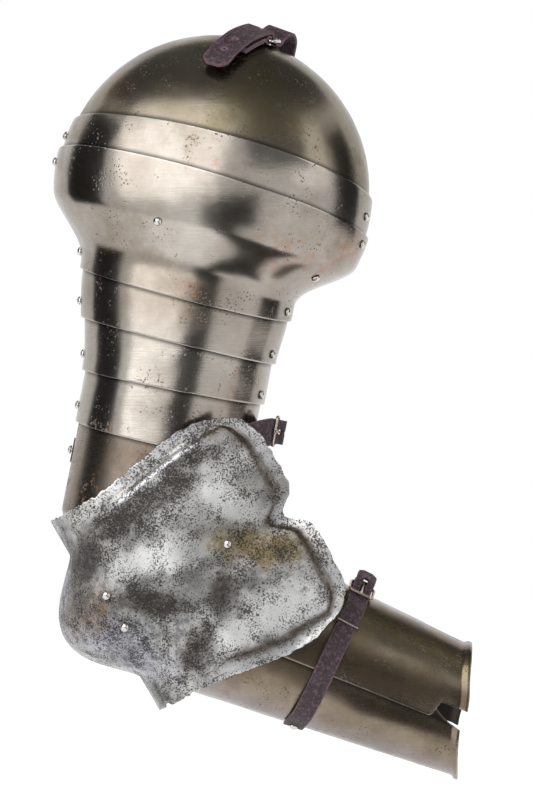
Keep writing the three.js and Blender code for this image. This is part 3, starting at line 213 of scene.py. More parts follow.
def cap_rim(around, radius):
    def foot(turn):
        rise = edge_height(CAP_FOOT, min(max(turn, 0), HALF)) / radius
        level = math.sqrt(1 - rise ** 2)
        return Vector((-level * math.cos(turn), -level * math.sin(turn), rise))
    if around < CAP_FOOT_SHARE:
        return foot(plate_turn(around / CAP_FOOT_SHARE, SHOULDER_WRAP))
    start = foot(plate_turn(1, SHOULDER_WRAP))
    level = math.hypot(start.x, start.z)
    first = math.atan2(start.z, start.x)
    bearing = mix(first, HALF - first, (around - CAP_FOOT_SHARE) / (1 - CAP_FOOT_SHARE))
    return Vector((level * math.cos(bearing), start.y, level * math.sin(bearing)))


def cap_face(u, v):
    radius = BALL_RADIUS - 2 * LAYER
    depth = BALL_DEPTH - 2 * LAYER
    middle = Vector((0, -math.cos(CAP_MIDDLE), math.sin(CAP_MIDDLE)))
    rim = cap_rim(u, radius)
    angle = middle.angle(rim)
    unit = (middle * math.sin(angle * (1 - v)) + rim * math.sin(angle * v)).normalized()
    place = Vector((unit.x * radius, unit.y * depth, unit.z * radius))
    out = Vector((unit.x / radius, unit.y / depth, unit.z / radius)).normalized()
    from_rim = angle * (1 - v) * radius
    neck = smooth(u, 0.5, 0.53) * (1 - smooth(u, 0.97, 1))
    return place + out * (CAP_LIP_RISE * neck * (1 - smooth(from_rim, 0, CAP_LIP_WIDTH)))


# %% [markdown]
# The upper cannon is the last plate of the arm. It closes round the inner side towards the elbow,
# and two tongues of it reach down to the elbow's rivets.

# %% Upper cannon
REAR_FOOT = ELBOW_DROP * 0.8683
FRONT_FOOT = ELBOW_DROP * 0.6221
MEDIAL_TURN = degrees(104)
CLOSE_FROM = ELBOW_DROP * 0.7053
CLOSED_AT = ELBOW_DROP * 0.8317
PINCH = 12
PINCH_FROM = ELBOW_DROP * 0.7918
TONGUE_WIDTH = 11
TONGUE_END = 9
upper_pivot = Vector((
    -ELBOW_SETBACK - (PIVOT_SPREAD / 2) * math.sin(ELBOW_LIFT + ARM_TILT), 0,
    -ELBOW_DROP + (PIVOT_SPREAD / 2) * math.cos(ELBOW_LIFT + ARM_TILT)))


def cannon_point(turn, height):
    point = arm_point(turn, height, 4 * LAYER)
    pinch = PINCH * smooth(-height, PINCH_FROM, REAR_FOOT)
    if point.x < 0:
        point.x *= 1 - pinch / (REAR_REACH[1] - 4 * LAYER)
    return point


def cannon_foot(turn):
    x = cannon_point(turn, -REAR_FOOT).x
    edge = -REAR_FOOT
    if x >= upper_pivot.x:
        edge = mix(-REAR_FOOT, -FRONT_FOOT, smooth(x, upper_pivot.x, FRONT_REACH[1] - 4 * LAYER))
    return mix(edge, upper_pivot.z - TONGUE_END, bell(x - upper_pivot.x, TONGUE_WIDTH))


def cannon_face(u, v):
    top = edge_height(FOOT_EDGES[3], plate_turn(u, ARM_WRAP)) + LAME_LAP
    height = mix(top, cannon_foot(mix(-MEDIAL_TURN, HALF + ARM_WRAP, u)), v)
    wrap = mix(ARM_WRAP, MEDIAL_TURN, smooth(-height, CLOSE_FROM, CLOSED_AT))
    return cannon_point(mix(-wrap, HALF + ARM_WRAP, u), height)


# %% [markdown]
# The elbow plate is a cup round the point of the elbow that opens forward into a wing of two lobes.
# A step runs along its border. Rust has eaten the rim into small bites, so the edge is drawn back
# by a rough line of noise.

# %% Elbow plate
ELBOW_HALF = 76.5
ELBOW_FLARE = 9.5
CUP_WRAP = degrees(96)
COP_CENTRE = 25
COP_BACK = 10.5
COP_BULGE = 32.5
COP_BULGE_HALF = 49
WING_REACH = 149
WING_DEPTH = 62.5
WING_CROWN = 4
WING_LEAN = 7
WING_ROUNDING = 37
WING_NOTCH = 15
VALLEY_DEPTH = 11
VALLEY_WIDTH = 20
VALLEY_START = 35
STEP_HEIGHT = 3
STEP_BAND = (9, 14)
BITE = 2.4
DEEP_BITE = 6


def bitten(place, seed):
    rough = abs(noise.noise(Vector((place * 0.12, seed, 0.3))))
    fine = abs(noise.noise(Vector((place * 0.45, seed, 7.1))))
    deep = max(0, noise.noise(Vector((place * 0.05, seed, 3.7))) - 0.15)
    return BITE * (rough + 0.5 * fine) + DEEP_BITE * deep


def elbow_height(x):
    return ELBOW_HALF + ELBOW_FLARE * smooth(x, 20, 100)


def wing_front(along):
    return WING_REACH - WING_ROUNDING * abs(along) ** 9 - WING_NOTCH * bell(along, 0.11)


def elbow_face(u, v):
    along = 1 - 2 * v
    back = COP_BACK + COP_BULGE * max(0, 1 - (along * ELBOW_HALF / COP_BULGE_HALF) ** 2) ** 1.3
    reach = COP_CENTRE + back
    depth = WING_DEPTH + WING_CROWN * (1 - along ** 2)
    if u < 0.5:
        turn = mix(-CUP_WRAP, QUARTER, u / 0.5)
        x = COP_CENTRE - reach * math.cos(turn)
        z = along * elbow_height(x)
        trim = bitten(turn * 60, math.copysign(5, along)) * smooth(abs(along), 0.8, 1)
        return Vector((x, -depth * math.sin(turn), z - math.copysign(trim, along)))
    share = (u - 0.5) / 0.5
    front = wing_front(along)
    x = mix(COP_CENTRE, front, share)
    z = along * elbow_height(x)
    valley = VALLEY_DEPTH * bell(z, VALLEY_WIDTH) * smooth(x, VALLEY_START, WING_REACH)
    edge = min(front - x, elbow_height(x) - abs(z))
    field = STEP_HEIGHT * smooth(edge, *STEP_BAND) * smooth(share, 0, 0.3)
    trim_z = bitten(x + 94, math.copysign(5, along)) * smooth(abs(along), 0.8, 1)
    trim_x = bitten(z, 2) * smooth(share, 0.75, 1)
    return Vector((
        x - trim_x, -(depth + WING_LEAN * share ** 2 + field - valley), z - math.copysign(trim_z, along)))


# %% [markdown]
# Stains and painted light belong to places, and a material can't know them. So each plate gets marks while it
# is
# raised: a number from 0 to 1 at every point of its mesh, which the finishes read later. Some marks are
# painted shadow under the edges of the plates that lap over. The elbow plate was scoured unevenly; leaning
# ovals set from how the real one looks give its patches of rust, olive crust and a cool tint, and also of
# painted shade and painted highlight.

# %% Where the elbow plate is painted: painted shade in the groove of the step, a pale rim and a painted highlight along the upper border
def wing_place(u, v):
    along = 1 - 2 * v
    front = wing_front(along)
    x = mix(COP_CENTRE, front, max(0, (u - 0.5) / 0.5))
    z = along * elbow_height(x)
    return x, z, min(front - x, elbow_height(x) - abs(z))


# Where the painted shade of the step's groove lies, measured in from the edge
GROOVE = 12
GROOVE_WIDTH = 3.2
# Where the painted highlight line on the top of the step lies, measured in from the edge
HIGHLIGHT_LINE = 14.3
HIGHLIGHT_LINE_WIDTH = 1.3


def top_border(x, z):
    return (1 - smooth(x, 95, 118)) if z > 0 else 0


# Painted shade in the groove of the step, mostly left off the upper border, which faces the light
def step_shade_share(u, v):
    x, z, edge = wing_place(u, v)
    return bell(edge - GROOVE, GROOVE_WIDTH) * smooth(u, 0.52, 0.66) * (1 - 0.85 * top_border(x, z))


# A pale rim band all round, brighter along the upper border as painted highlight, and a painted highlight
# line on the top of the step there
def pale_rim_and_highlight_share(u, v):
    x, z, edge = wing_place(u, v)
    highlight_line = bell(edge - HIGHLIGHT_LINE, HIGHLIGHT_LINE_WIDTH) * top_border(x, z)
    border = (0.35 + 0.3 * top_border(x, z)) * (1 - smooth(edge, 5, 9))
    return max(border, highlight_line) * smooth(u, 0.5, 0.6)


# %% Patches on the elbow plate: each sideways, up, half length, half width and tilt from its middle
PATCHES = {
    # The first two lists are painted shade and painted highlight; the others are rust, olive crust and a cool
    # tint.
    "shade": [(-2, 60, 33, 12, 35), (-18, 38, 18, 14, 60), (22, 6, 26, 8, -5), (57, -27, 20, 11, 60),
              (48, 104, 16, 8, 20), (72, 15, 17, 8, 80), (36, 84, 26, 10, 35)],
    "painted_highlight": [(30, 38, 35, 13, 15), (115, 4, 36, 17, 22), (86, -14, 24, 12, 20), (82, 74, 24, 12, -30)],
    "umber": [(-20, 2, 17, 18, 0)],
    "valley": [(101, 46, 42, 14, -8)],
    "cool": [(4, -24, 42, 17, -25), (-38, 18, 36, 7, 90)]}


def patch_share(patches):
    def share_at(u, v):
        place = elbow_frame @ elbow_face(u, v) - elbow_frame.translation
        ragged = 1 + 0.45 * noise.noise(place / 13) + 0.2 * noise.noise(place / 5)
        near = 0
        for x, z, length, width, tilt in patches:
            turn = degrees(tilt)
            along = (place.x - x) * math.cos(turn) + (place.z - z) * math.sin(turn)
            across = (place.z - z) * math.cos(turn) - (place.x - x) * math.sin(turn)
            away = ragged * math.hypot(along / length, across / width)
            near = max(near, 1 - smooth(away, 0.45, 1.4))
        return near
    return share_at


# %% [markdown]
# The forearm is a tapering tube with rounded corners, cut in two along its length. Its wrist end is
# turned out in a rim, and the front half's seam steps back there.

# %% Forearm
FOREARM_LENGTH = 242
FOREARM_HALF = (63, 45.6)
FOREARM_DEPTH = (59, 41)
FOREARM_POWER = 2.6
HINGE_TURN = degrees(262)
WRIST_LEAN = degrees(16)
SEAM_RISE = 8
DOOR_START = (128, 62)
REAR_START = (40, 62)
GAPE_LENGTH = 34
RIM_WIDTH = 6
RIM_RISE = 2.2
NOTCH_LENGTH = 19
NOTCH_RISE = 6.5


def forearm_half(x):
    return mix(*FOREARM_HALF, x / FOREARM_LENGTH)


def forearm_point(turn, x, inset):
    half = forearm_half(x) - inset
    depth = mix(*FOREARM_DEPTH, x / FOREARM_LENGTH) - inset
    power = 2 / FOREARM_POWER
    return Vector((
        x, -depth * signed_power(math.sin(turn), power), half * signed_power(math.cos(turn), power)))


def wrist_at(turn):
    return FOREARM_LENGTH - FOREARM_HALF[1] * math.tan(WRIST_LEAN) * math.cos(turn)


def wrist_rim(turn, x):
    return RIM_RISE * smooth(x, wrist_at(turn) - RIM_WIDTH, wrist_at(turn) - RIM_WIDTH / 3)


def seam_turn(x):
    return QUARTER + math.asin((SEAM_RISE / forearm_half(x)) ** (FOREARM_POWER / 2))


def door_turn(u):
    return mix(HINGE_TURN - 2 * HALF, QUARTER, 1 - u)


def door_face(u, v):
    turn = door_turn(u)
    start = mix(*DOOR_START, smooth(abs(turn), 0, QUARTER))
    x = mix(start, wrist_at(turn), v)
    notch_from = wrist_at(turn) - NOTCH_LENGTH
    notch = NOTCH_RISE / forearm_half(x) * smooth(x, notch_from - 5, notch_from)
    shifted = turn + (1 - u) * (seam_turn(x) - QUARTER) - notch * smooth(1 - u, 0.8, 1)
    return forearm_point(shifted, x, -wrist_rim(turn, x))


def rear_start(turn):
    z = forearm_point(turn, 0, LAYER).z
    plain = mix(*REAR_START, smooth(z, -FOREARM_PIVOT_DROP, 0))
    return mix(plain, -TONGUE_END, bell(z + FOREARM_PIVOT_DROP, TONGUE_WIDTH))


def rear_turn(u):
    return mix(QUARTER, HINGE_TURN, 1 - u)


def rear_face(u, v):
    plain = rear_turn(u)
    x = mix(rear_start(plain), wrist_at(plain), v)
    gape = smooth(x, FOREARM_LENGTH - GAPE_LENGTH, FOREARM_LENGTH)
    first = seam_turn(x) + (gape * 2 - (1 - gape) * 9) / FOREARM_HALF[0]
    turn = mix(first, HINGE_TURN - degrees(2), 1 - u)
    inset = LAYER * (1 - smooth(turn, HINGE_TURN - QUARTER, HINGE_TURN))
    return forearm_point(turn, x, inset - wrist_rim(plain, x))


# %% Painted shadow in the laps: how near each point lies to the edge of the plate over it
def lap_shadow_share(gap):
    return smooth(gap, -3, -0.5) * (1 - smooth(gap, 0, 3.4))


# The cap gets no painted shadow above this height
CAP_SHADOW_CEILING = 60


def shadow_above_edge(place, edge):
    turn = math.atan2(-place.y * CAP_FLATNESS, -place.x)
    return lap_shadow_share(place.z - edge_height(edge, turn))


def cap_lap_shadow(u, v):
    place = cap_face(u, v)
    return shadow_above_edge(place, LAME_TOP) if place.z < CAP_SHADOW_CEILING else 0


def lame_lap_shadow(u, v):
    return shadow_above_edge(arm_frame.inverted() @ shoulder_frame @ lame_face(u, v), MAIN_TOP)


def foot_lap_shadow(face, level):
    def share_at(u, v):
        place = face(u, v)
        return lap_shadow_share(edge_height(FOOT_EDGES[level], plate_turn(u, ARM_WRAP)) - place.z)
    return share_at


# %% Orange rust near some edges, by its distance sideways and up from the middle of the shoulder
RUST_SPOTS = [
    (-67, 72, 9), (-30, 103, 9), (-8, 105, 10), (-13, -70, 9), (92, -44, 9), (42, -46, 15), (70, -50, 12)]


def orange_share(face, placed):
    def share_at(u, v):
        place = placed @ face(u, v) - SHOULDER_CENTRE
        near = [bell(math.hypot(place.x - x, place.z - z), reach) for x, z, reach in RUST_SPOTS]
        return max(near)
    return share_at


# %% Bands along the forearm: brown beside the seam and above, olive between, violet at the edges
def door_brown(u, v):
    turn = door_turn(u)
    return 0.9 * bell(turn - degrees(80), degrees(9)) + 0.75 * bell(turn - degrees(27), degrees(7))


def door_olive(u, v):
    return bell(door_turn(u) - degrees(44), degrees(11))


def door_violet(u, v):
    return 1 - smooth(door_turn(u), degrees(8), degrees(20))


def rear_brown(u, v):
    return 0.6 * bell(rear_turn(u) - degrees(108), degrees(9))


def rear_violet(u, v):
    return smooth(rear_turn(u), degrees(118), degrees(165))


# Painted shadow along the rear plate just under the seam edge of the front plate
def rear_lap_shadow(u, v):
    place = rear_face(u, v)
    below = forearm_point(seam_turn(place.x), place.x, 0).z - place.z
    return 1 - smooth(below, 0, 3.4) if u > 0.5 else 0


# %% [markdown]
# ## How a plate is made
# An armourer starts from a flat sheet, raises it over a stake, trims it and breaks its edges with a
# file. Here a flat grid is added, each of its points is moved onto the form, since no operator gives a
# double curve of a known size, and Solidify and Bevel give it its gauge and its filed edges. A little
# noise keeps the marks of the hammer.

# %% Bench tools
def deselect():
    bpy.ops.object.select_all(action="DESELECT")


def take(piece):
    deselect()
    piece.select_set(True)
    bpy.context.view_layer.objects.active = piece
    return piece


def apply_modifier(piece, kind, **settings):
    take(piece)
    modifier = piece.modifiers.new(kind.title(), kind)
    for setting, value in settings.items():
        setattr(modifier, setting, value)
    bpy.ops.object.modifier_apply(modifier=modifier.name)


def edit(piece, *steps):
    take(piece)
    bpy.ops.object.mode_set(mode="EDIT")
    bpy.ops.mesh.select_all(action="SELECT")
    for step in steps:
        step()
    bpy.ops.object.mode_set(mode="OBJECT")


def smooth_shade(piece, angle=40):
    take(piece)
    bpy.ops.object.shade_smooth_by_angle(angle=degrees(angle))


def break_edges(piece, width, segments=2):
    apply_modifier(piece, "BEVEL", width=width * MM, segments=segments,
                   limit_method="ANGLE", angle_limit=degrees(50))


def fresh(name, add, **sizes):
    deselect()
    add(**sizes)
    piece = bpy.context.object
    piece.name = name
    return piece


def flat_grid(name, across, down):
    piece = fresh(name, bpy.ops.mesh.primitive_grid_add, x_subdivisions=across, y_subdivisions=down, size=2)
    piece.data.name = name
    return piece


# %% Marks kept on a mesh, and the distance to its rim, for the wear of edges
def keep_mark(piece, mark, values):
    kept = piece.data.attributes.new(mark, "FLOAT", "POINT")
    kept.data.foreach_set("value", values)


def mark_rim(piece, rim_points):
    tree = KDTree(len(rim_points))
    for index, point in enumerate(rim_points):
        tree.insert(point, index)
    tree.balance()
    keep_mark(piece, "rim", [tree.find(vertex.co)[2] / MM for vertex in piece.data.vertices])


# %% Raising a plate
HAMMER_DEPTH = 0.22
EDGE_BREAK = 0.3


def raise_plate(name, face, placed, across, down, closed=False, marks=None, hammer=HAMMER_DEPTH):
    piece = flat_grid(name, across, down)
    spots = [((vertex.co.x + 1) / 2, (1 - vertex.co.y) / 2) for vertex in piece.data.vertices]
    for mark, share_at in (marks or {}).items():
        keep_mark(piece, mark, [share_at(u, v) for u, v in spots])
    rim = []
    for vertex, (u, v) in zip(piece.data.vertices, spots):
        vertex.co = (placed @ face(u, v)) * MM
        side = 1e-5 < u < 1 - 1e-5
        if v > 1 - 1e-5 or (not closed and (v < 1e-5 or not side)):
            rim.append(vertex.co.copy())
    if closed:
        edit(piece, lambda: bpy.ops.mesh.remove_doubles(threshold=0.02 * MM))
    piece.data.update()
    normals = [vertex.normal.copy() for vertex in piece.data.vertices]
    for vertex, normal in zip(piece.data.vertices, normals):
        broad = noise.noise(vertex.co / (26 * MM) + Vector((3, len(name), 1)))
        tight = noise.noise(vertex.co / (9 * MM) + Vector((8, len(name), 5)))
        vertex.co += normal * (hammer * (broad + 0.25 * tight) * MM)
    apply_modifier(piece, "SOLIDIFY", thickness=GAUGE * MM, offset=-1)
    # The inner faces are marked, and the finishes paint them dark as painted shade
    keep_mark(piece, "inside", [float(index >= len(normals)) for index in range(len(piece.data.vertices))])
    break_edges(piece, EDGE_BREAK)
    smooth_shade(piece)
    mark_rim(piece, rim)
    print(name, len(piece.data.polygons), "faces")
    return piece


# %% Which body and finish each node has
record = frame["record"]
body_of = {node: body for body, nodes in record["behaviour"]["bodies"].items() for node in nodes}


def fit(piece, node, material, rides=True):
    piece.data.materials.clear()
    piece.data.materials.append(material)
    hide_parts(node)
    if rides:
        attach(piece, body_of[node])
    return piece


# %% [markdown]
# ## Finishes
# A node tree is easier to read when adding and joining nodes takes one line, so these helpers come
# first. Every finish then shares a few groups: blotches for rust and stains, fine lines of polishing,
# pits, and the rubbed rim.

# %% Node helpers
def feed(tree, sockets, values):
    for socket, value in values.items():
        if isinstance(value, bpy.types.NodeSocket):
            tree.links.new(value, sockets[socket])
        else:
            sockets[socket].default_value = value


def put(tree, kind, inputs=None, **settings):
    made = tree.nodes.new(kind)
    for setting, value in settings.items():
        setattr(made, setting, value)
    feed(tree, made.inputs, inputs or {})
    return made


def sums(tree, operation, first, second=0.0, third=0.0):
    made = put(tree, "ShaderNodeMath", {0: first, 1: second, 2: third}, operation=operation)
    return made.outputs[0]


def blended(tree, factor, first, second):
    made = put(tree, "ShaderNodeMix", {0: factor, 6: first, 7: second}, data_type="RGBA")
    return made.outputs[2]


def ranged(tree, value, low, high, to_low=0.0, to_high=1.0):
    made = put(tree, "ShaderNodeMapRange", {0: value, 1: low, 2: high, 3: to_low, 4: to_high})
    return made.outputs[0]


def new_group(name, inputs, outputs):
    group = bpy.data.node_groups.new(name, "ShaderNodeTree")
    for label, default in inputs.items():
        kind = "NodeSocketVector" if isinstance(default, tuple) else "NodeSocketFloat"
        socket = group.interface.new_socket(name=label, in_out="INPUT", socket_type=kind)
        socket.default_value = default
    for label in outputs:
        group.interface.new_socket(name=label, in_out="OUTPUT", socket_type="NodeSocketFloat")
    entry = group.nodes.new("NodeGroupInput")
    leave = group.nodes.new("NodeGroupOutput")
    return group, entry.outputs, leave.inputs


def layered(tree, colour, *layers):
    for mask, strength, tint in layers:
        colour = blended(tree, sums(tree, "MULTIPLY", mask, strength), colour, tint)
    return colour


def use(tree, group, **values):
    return put(tree, "ShaderNodeGroup", values, node_tree=group).outputs[0]


def mark_on(tree, name):
    return put(tree, "ShaderNodeAttribute", attribute_name=name).outputs["Fac"]


def moved_by(tree, vector, operation="ADD"):
    place = put(tree, "ShaderNodeTexCoord").outputs["Object"]
    return put(tree, "ShaderNodeVectorMath", {0: place, 1: vector}, operation=operation).outputs[0]


def cloud_in(tree, place, scale, detail, roughness=0.5):
    return put(tree, "ShaderNodeTexNoise", {
        "Vector": place, "Scale": scale, "Detail": detail, "Roughness": roughness}).outputs[0]


def cells_in(tree, place, scale, randomness=1.0, feature="F1"):
    return put(tree, "ShaderNodeTexVoronoi", {
        "Vector": place, "Scale": scale, "Randomness": randomness}, feature=feature).outputs["Distance"]


def bumped(tree, height, strength, distance, invert=False):
    return put(tree, "ShaderNodeBump", {
        "Height": height, "Strength": strength, "Distance": distance}, invert=invert).outputs[0]


def blank_material(name):
    material = bpy.data.materials.new(name)
    material.use_nodes = True
    tree = material.node_tree
    return material, tree, tree.nodes["Principled BSDF"].inputs


# %% Blotches: a noise cut off at a level, for stains, rust and bare patches
blotches, given, result = new_group(
    "Blotches", {"Scale": 40.0, "Level": 0.5, "Softness": 0.1, "Stretch": (1.0, 1.0, 1.0), "Seed": 0.0},
    ["Mask"])
place = put(blotches, "ShaderNodeTexCoord").outputs["Object"]
turned = put(blotches, "ShaderNodeMapping", {"Vector": place, "Scale": given["Stretch"]}).outputs[0]
moved = put(blotches, "ShaderNodeVectorMath", {0: turned, 1: given["Seed"]}, operation="ADD").outputs[0]
cloud = cloud_in(blotches, moved, given["Scale"], 8.0, 0.62)
top = sums(blotches, "ADD", given["Level"], given["Softness"])
blotches.links.new(ranged(blotches, cloud, given["Level"], top), result["Mask"])

# %% Polishing lines: scratches that run round the limb
lines, given, result = new_group("Polishing lines", {"Scale": 60.0, "Length": 18.0, "Seed": 0.0}, ["Height"])
squeeze = put(lines, "ShaderNodeCombineXYZ", {"X": 1.0, "Y": 1.0, "Z": given["Length"]}).outputs[0]
drawn = moved_by(lines, squeeze, "MULTIPLY")
moved = put(lines, "ShaderNodeVectorMath", {0: drawn, 1: given["Seed"]}, operation="ADD").outputs[0]
lines.links.new(cloud_in(lines, moved, given["Scale"], 5.0, 0.7), result["Height"])

# %% Pits: small round holes, in clusters
pits, given, result = new_group("Pits", {"Scale": 300.0, "Size": 0.25, "Cover": 0.5, "Seed": 0.0}, ["Mask"])
moved = moved_by(pits, given["Seed"])
cells = cells_in(pits, moved, given["Scale"])
ring = sums(pits, "SUBTRACT", 1.0, sums(pits, "DIVIDE", cells, given["Size"]))
cloud = cloud_in(pits, moved, 45.0, 4.0)
where = ranged(pits, cloud, given["Cover"], sums(pits, "ADD", given["Cover"], 0.08))
pits.links.new(sums(pits, "MULTIPLY", ranged(pits, ring, 0.0, 0.6), where), result["Mask"])

# %% Mottling: fine speckle that thickens into patches, as where rust was scoured off
mottling, given, result = new_group(
    "Mottling", {"Scale": 500.0, "Level": 0.5, "Softness": 0.05, "Gather": 0.5, "Seed": 0.0}, ["Mask"])
moved = moved_by(mottling, given["Seed"])
fine = cloud_in(mottling, moved, given["Scale"], 6.0, 0.68)
patch = cloud_in(mottling, moved, sums(mottling, "MULTIPLY", given["Scale"], 0.085), 5.0, 0.6)
gathered = sums(mottling, "MULTIPLY_ADD", sums(mottling, "SUBTRACT", patch, 0.5), given["Gather"], fine)
top = sums(mottling, "ADD", given["Level"], given["Softness"])
mottling.links.new(ranged(mottling, gathered, given["Level"], top), result["Mask"])

# %% Rubbed rim: strong at the edge, broken up by noise
rubbed, given, result = new_group("Rubbed rim", {"Width": 2.0, "Rough": 0.5}, ["Mask"])
place = put(rubbed, "ShaderNodeTexCoord").outputs["Object"]
cloud = cloud_in(rubbed, place, 180.0, 4.0)
wide = sums(rubbed, "MULTIPLY", given["Width"], sums(rubbed, "ADD", 0.5, cloud))
rubbed.links.new(ranged(rubbed, mark_on(rubbed, "rim"), 0.0, wide, 1.0, 0.0), result["Mask"])
print("groups", [group.name for group in bpy.data.node_groups])

# %% [markdown]
# ## Steel
# Old polished steel is never one colour: the bare metal is warm grey, handling leaves brown and olive
# stains, and rust sits in spots and pits. The recipe also paints shadow where a plate laps under the edge of
# another, and painted shade on the inner faces. All plates share one recipe with their own strengths.

# %% Steel recipe
RUST = (0.2, 0.075, 0.028, 1)
RUST_CRUST = (0.14, 0.062, 0.034, 1)
# Near black, for pits and speckle, and for the painted shadow under lapping edges
SOOT_AND_SHADOW = (0.022, 0.017, 0.014, 1)
# Near black, painted shade on the inner faces
INSIDE_SHADE = (0.035, 0.028, 0.022, 1)
RUBBED = (0.8, 0.78, 0.74, 1)
TINTS = {
    "brown": (0.07, 0.048, 0.03, 1), "olive": (0.25, 0.205, 0.1, 1), "violet": (0.34, 0.31, 0.33, 1),
    "orange": (0.34, 0.13, 0.05, 1)}


def steel(name, light, dark, stain, stain_level=0.5, rust_level=0.66, pit_cover=0.55,
          roughness=0.28, seed=0.0):
    material, tree, surface = blank_material(name)
    broad = use(tree, blotches, Scale=14.0, Level=0.35, Softness=0.35, Seed=seed)
    streak = use(tree, blotches, Scale=30.0, Level=0.3, Softness=0.5, Stretch=(1.0, 1.0, 0.25), Seed=seed + 4)
    stained = use(tree, blotches, Scale=22.0, Level=stain_level, Softness=0.18, Seed=seed + 9)
    bloom = use(tree, blotches, Scale=26.0, Level=rust_level - 0.03, Softness=0.12, Seed=seed + 14)
    rust = use(tree, mottling, Scale=420.0, Level=rust_level + 0.02, Softness=0.05, Gather=0.9, Seed=seed + 2)
    speck = use(tree, pits, Scale=420.0, Size=0.3, Cover=pit_cover, Seed=seed)
    scratch = use(tree, lines, Scale=55.0, Length=26.0, Seed=seed)
    edge = use(tree, rubbed, Width=1.6)
    # Painted shadow just beyond the edge of the plate that laps over
    lap_shadow = mark_on(tree, "lap_shadow")
    # Painted shade: the inner faces are painted near black, and made rougher
    inside = mark_on(tree, "inside")
    grit = use(tree, mottling, Scale=160.0, Level=0.44, Softness=0.22, Gather=0.8, Seed=seed + 21)
    colour = blended(tree, broad, (*dark, 1), (*light, 1))
    colour = layered(tree, colour, (streak, 0.35, (*dark, 1)), (stained, 0.75, (*stain, 1)))
    uneven = sums(tree, "MULTIPLY_ADD", broad, 0.5, 0.4)
    for mark, tint in TINTS.items():
        strength = sums(tree, "MULTIPLY", grit, 0.7) if mark == "orange" else uneven
        colour = layered(tree, colour, (mark_on(tree, mark), strength, tint))
    colour = blended(tree, ranged(tree, scratch, 0.42, 0.75, 0.0, 0.4), colour, (*dark, 1))
    colour = layered(
        tree, colour, (bloom, 0.55, RUST), (edge, 0.25, RUBBED), (lap_shadow, 0.8, SOOT_AND_SHADOW),
        (speck, 0.85, SOOT_AND_SHADOW), (rust, 0.7, RUST_CRUST), (inside, 0.85, INSIDE_SHADE))
    spoiled = sums(tree, "MAXIMUM", sums(tree, "MULTIPLY", rust, 0.8), sums(tree, "MULTIPLY", speck, 0.7))
    rough = sums(tree, "MULTIPLY_ADD", scratch, 0.12, roughness - 0.06)
    rough = sums(tree, "MULTIPLY_ADD", stained, 0.1, rough)
    rough = sums(tree, "MULTIPLY_ADD", spoiled, 0.4, rough)
    rough = sums(tree, "MULTIPLY_ADD", inside, 0.3, rough)
    height = sums(tree, "MULTIPLY_ADD", scratch, 0.3, sums(tree, "MULTIPLY", speck, -1.0))
    feed(tree, surface, {
        "Base Color": colour, "Metallic": sums(tree, "SUBTRACT", 1.0, spoiled), "Roughness": rough,
        "Normal": bumped(tree, height, 0.35, 0.35 * MM)})
    return material


bright_steel = steel("Polished steel", (0.47, 0.445, 0.405), (0.25, 0.215, 0.18), (0.17, 0.13, 0.09),
                     stain_level=0.55, rust_level=0.68, roughness=0.19)
cap_steel = steel("Cap steel", (0.33, 0.29, 0.23), (0.2, 0.17, 0.128), (0.15, 0.125, 0.065),
                  stain_level=0.46, rust_level=0.68, roughness=0.23, seed=5.0, pit_cover=0.58)
cannon_steel = steel("Cannon steel", (0.3, 0.255, 0.21), (0.16, 0.128, 0.1), (0.11, 0.08, 0.055),
                     stain_level=0.5, rust_level=0.64, roughness=0.27, seed=11.0)
forearm_steel = steel("Forearm steel", (0.33, 0.28, 0.22), (0.17, 0.135, 0.095), (0.13, 0.1, 0.058),
                      stain_level=0.46, rust_level=0.69, roughness=0.25, seed=17.0)
rivet_steel = steel("Rivet steel", (0.6, 0.57, 0.53), (0.42, 0.4, 0.36), (0.25, 0.2, 0.15),
                    stain_level=0.6, rust_level=0.66, roughness=0.24, seed=31.0, pit_cover=0.6)
nickel = steel("Nickel", (0.75, 0.74, 0.72), (0.6, 0.59, 0.57), (0.45, 0.42, 0.38),
               stain_level=0.62, rust_level=0.78, roughness=0.18, seed=37.0, pit_cover=0.66)
brass = steel("Tarnished brass", (0.5, 0.41, 0.27), (0.32, 0.25, 0.16), (0.16, 0.12, 0.08),
              stain_level=0.5, rust_level=0.74, roughness=0.28, seed=41.0, pit_cover=0.6)
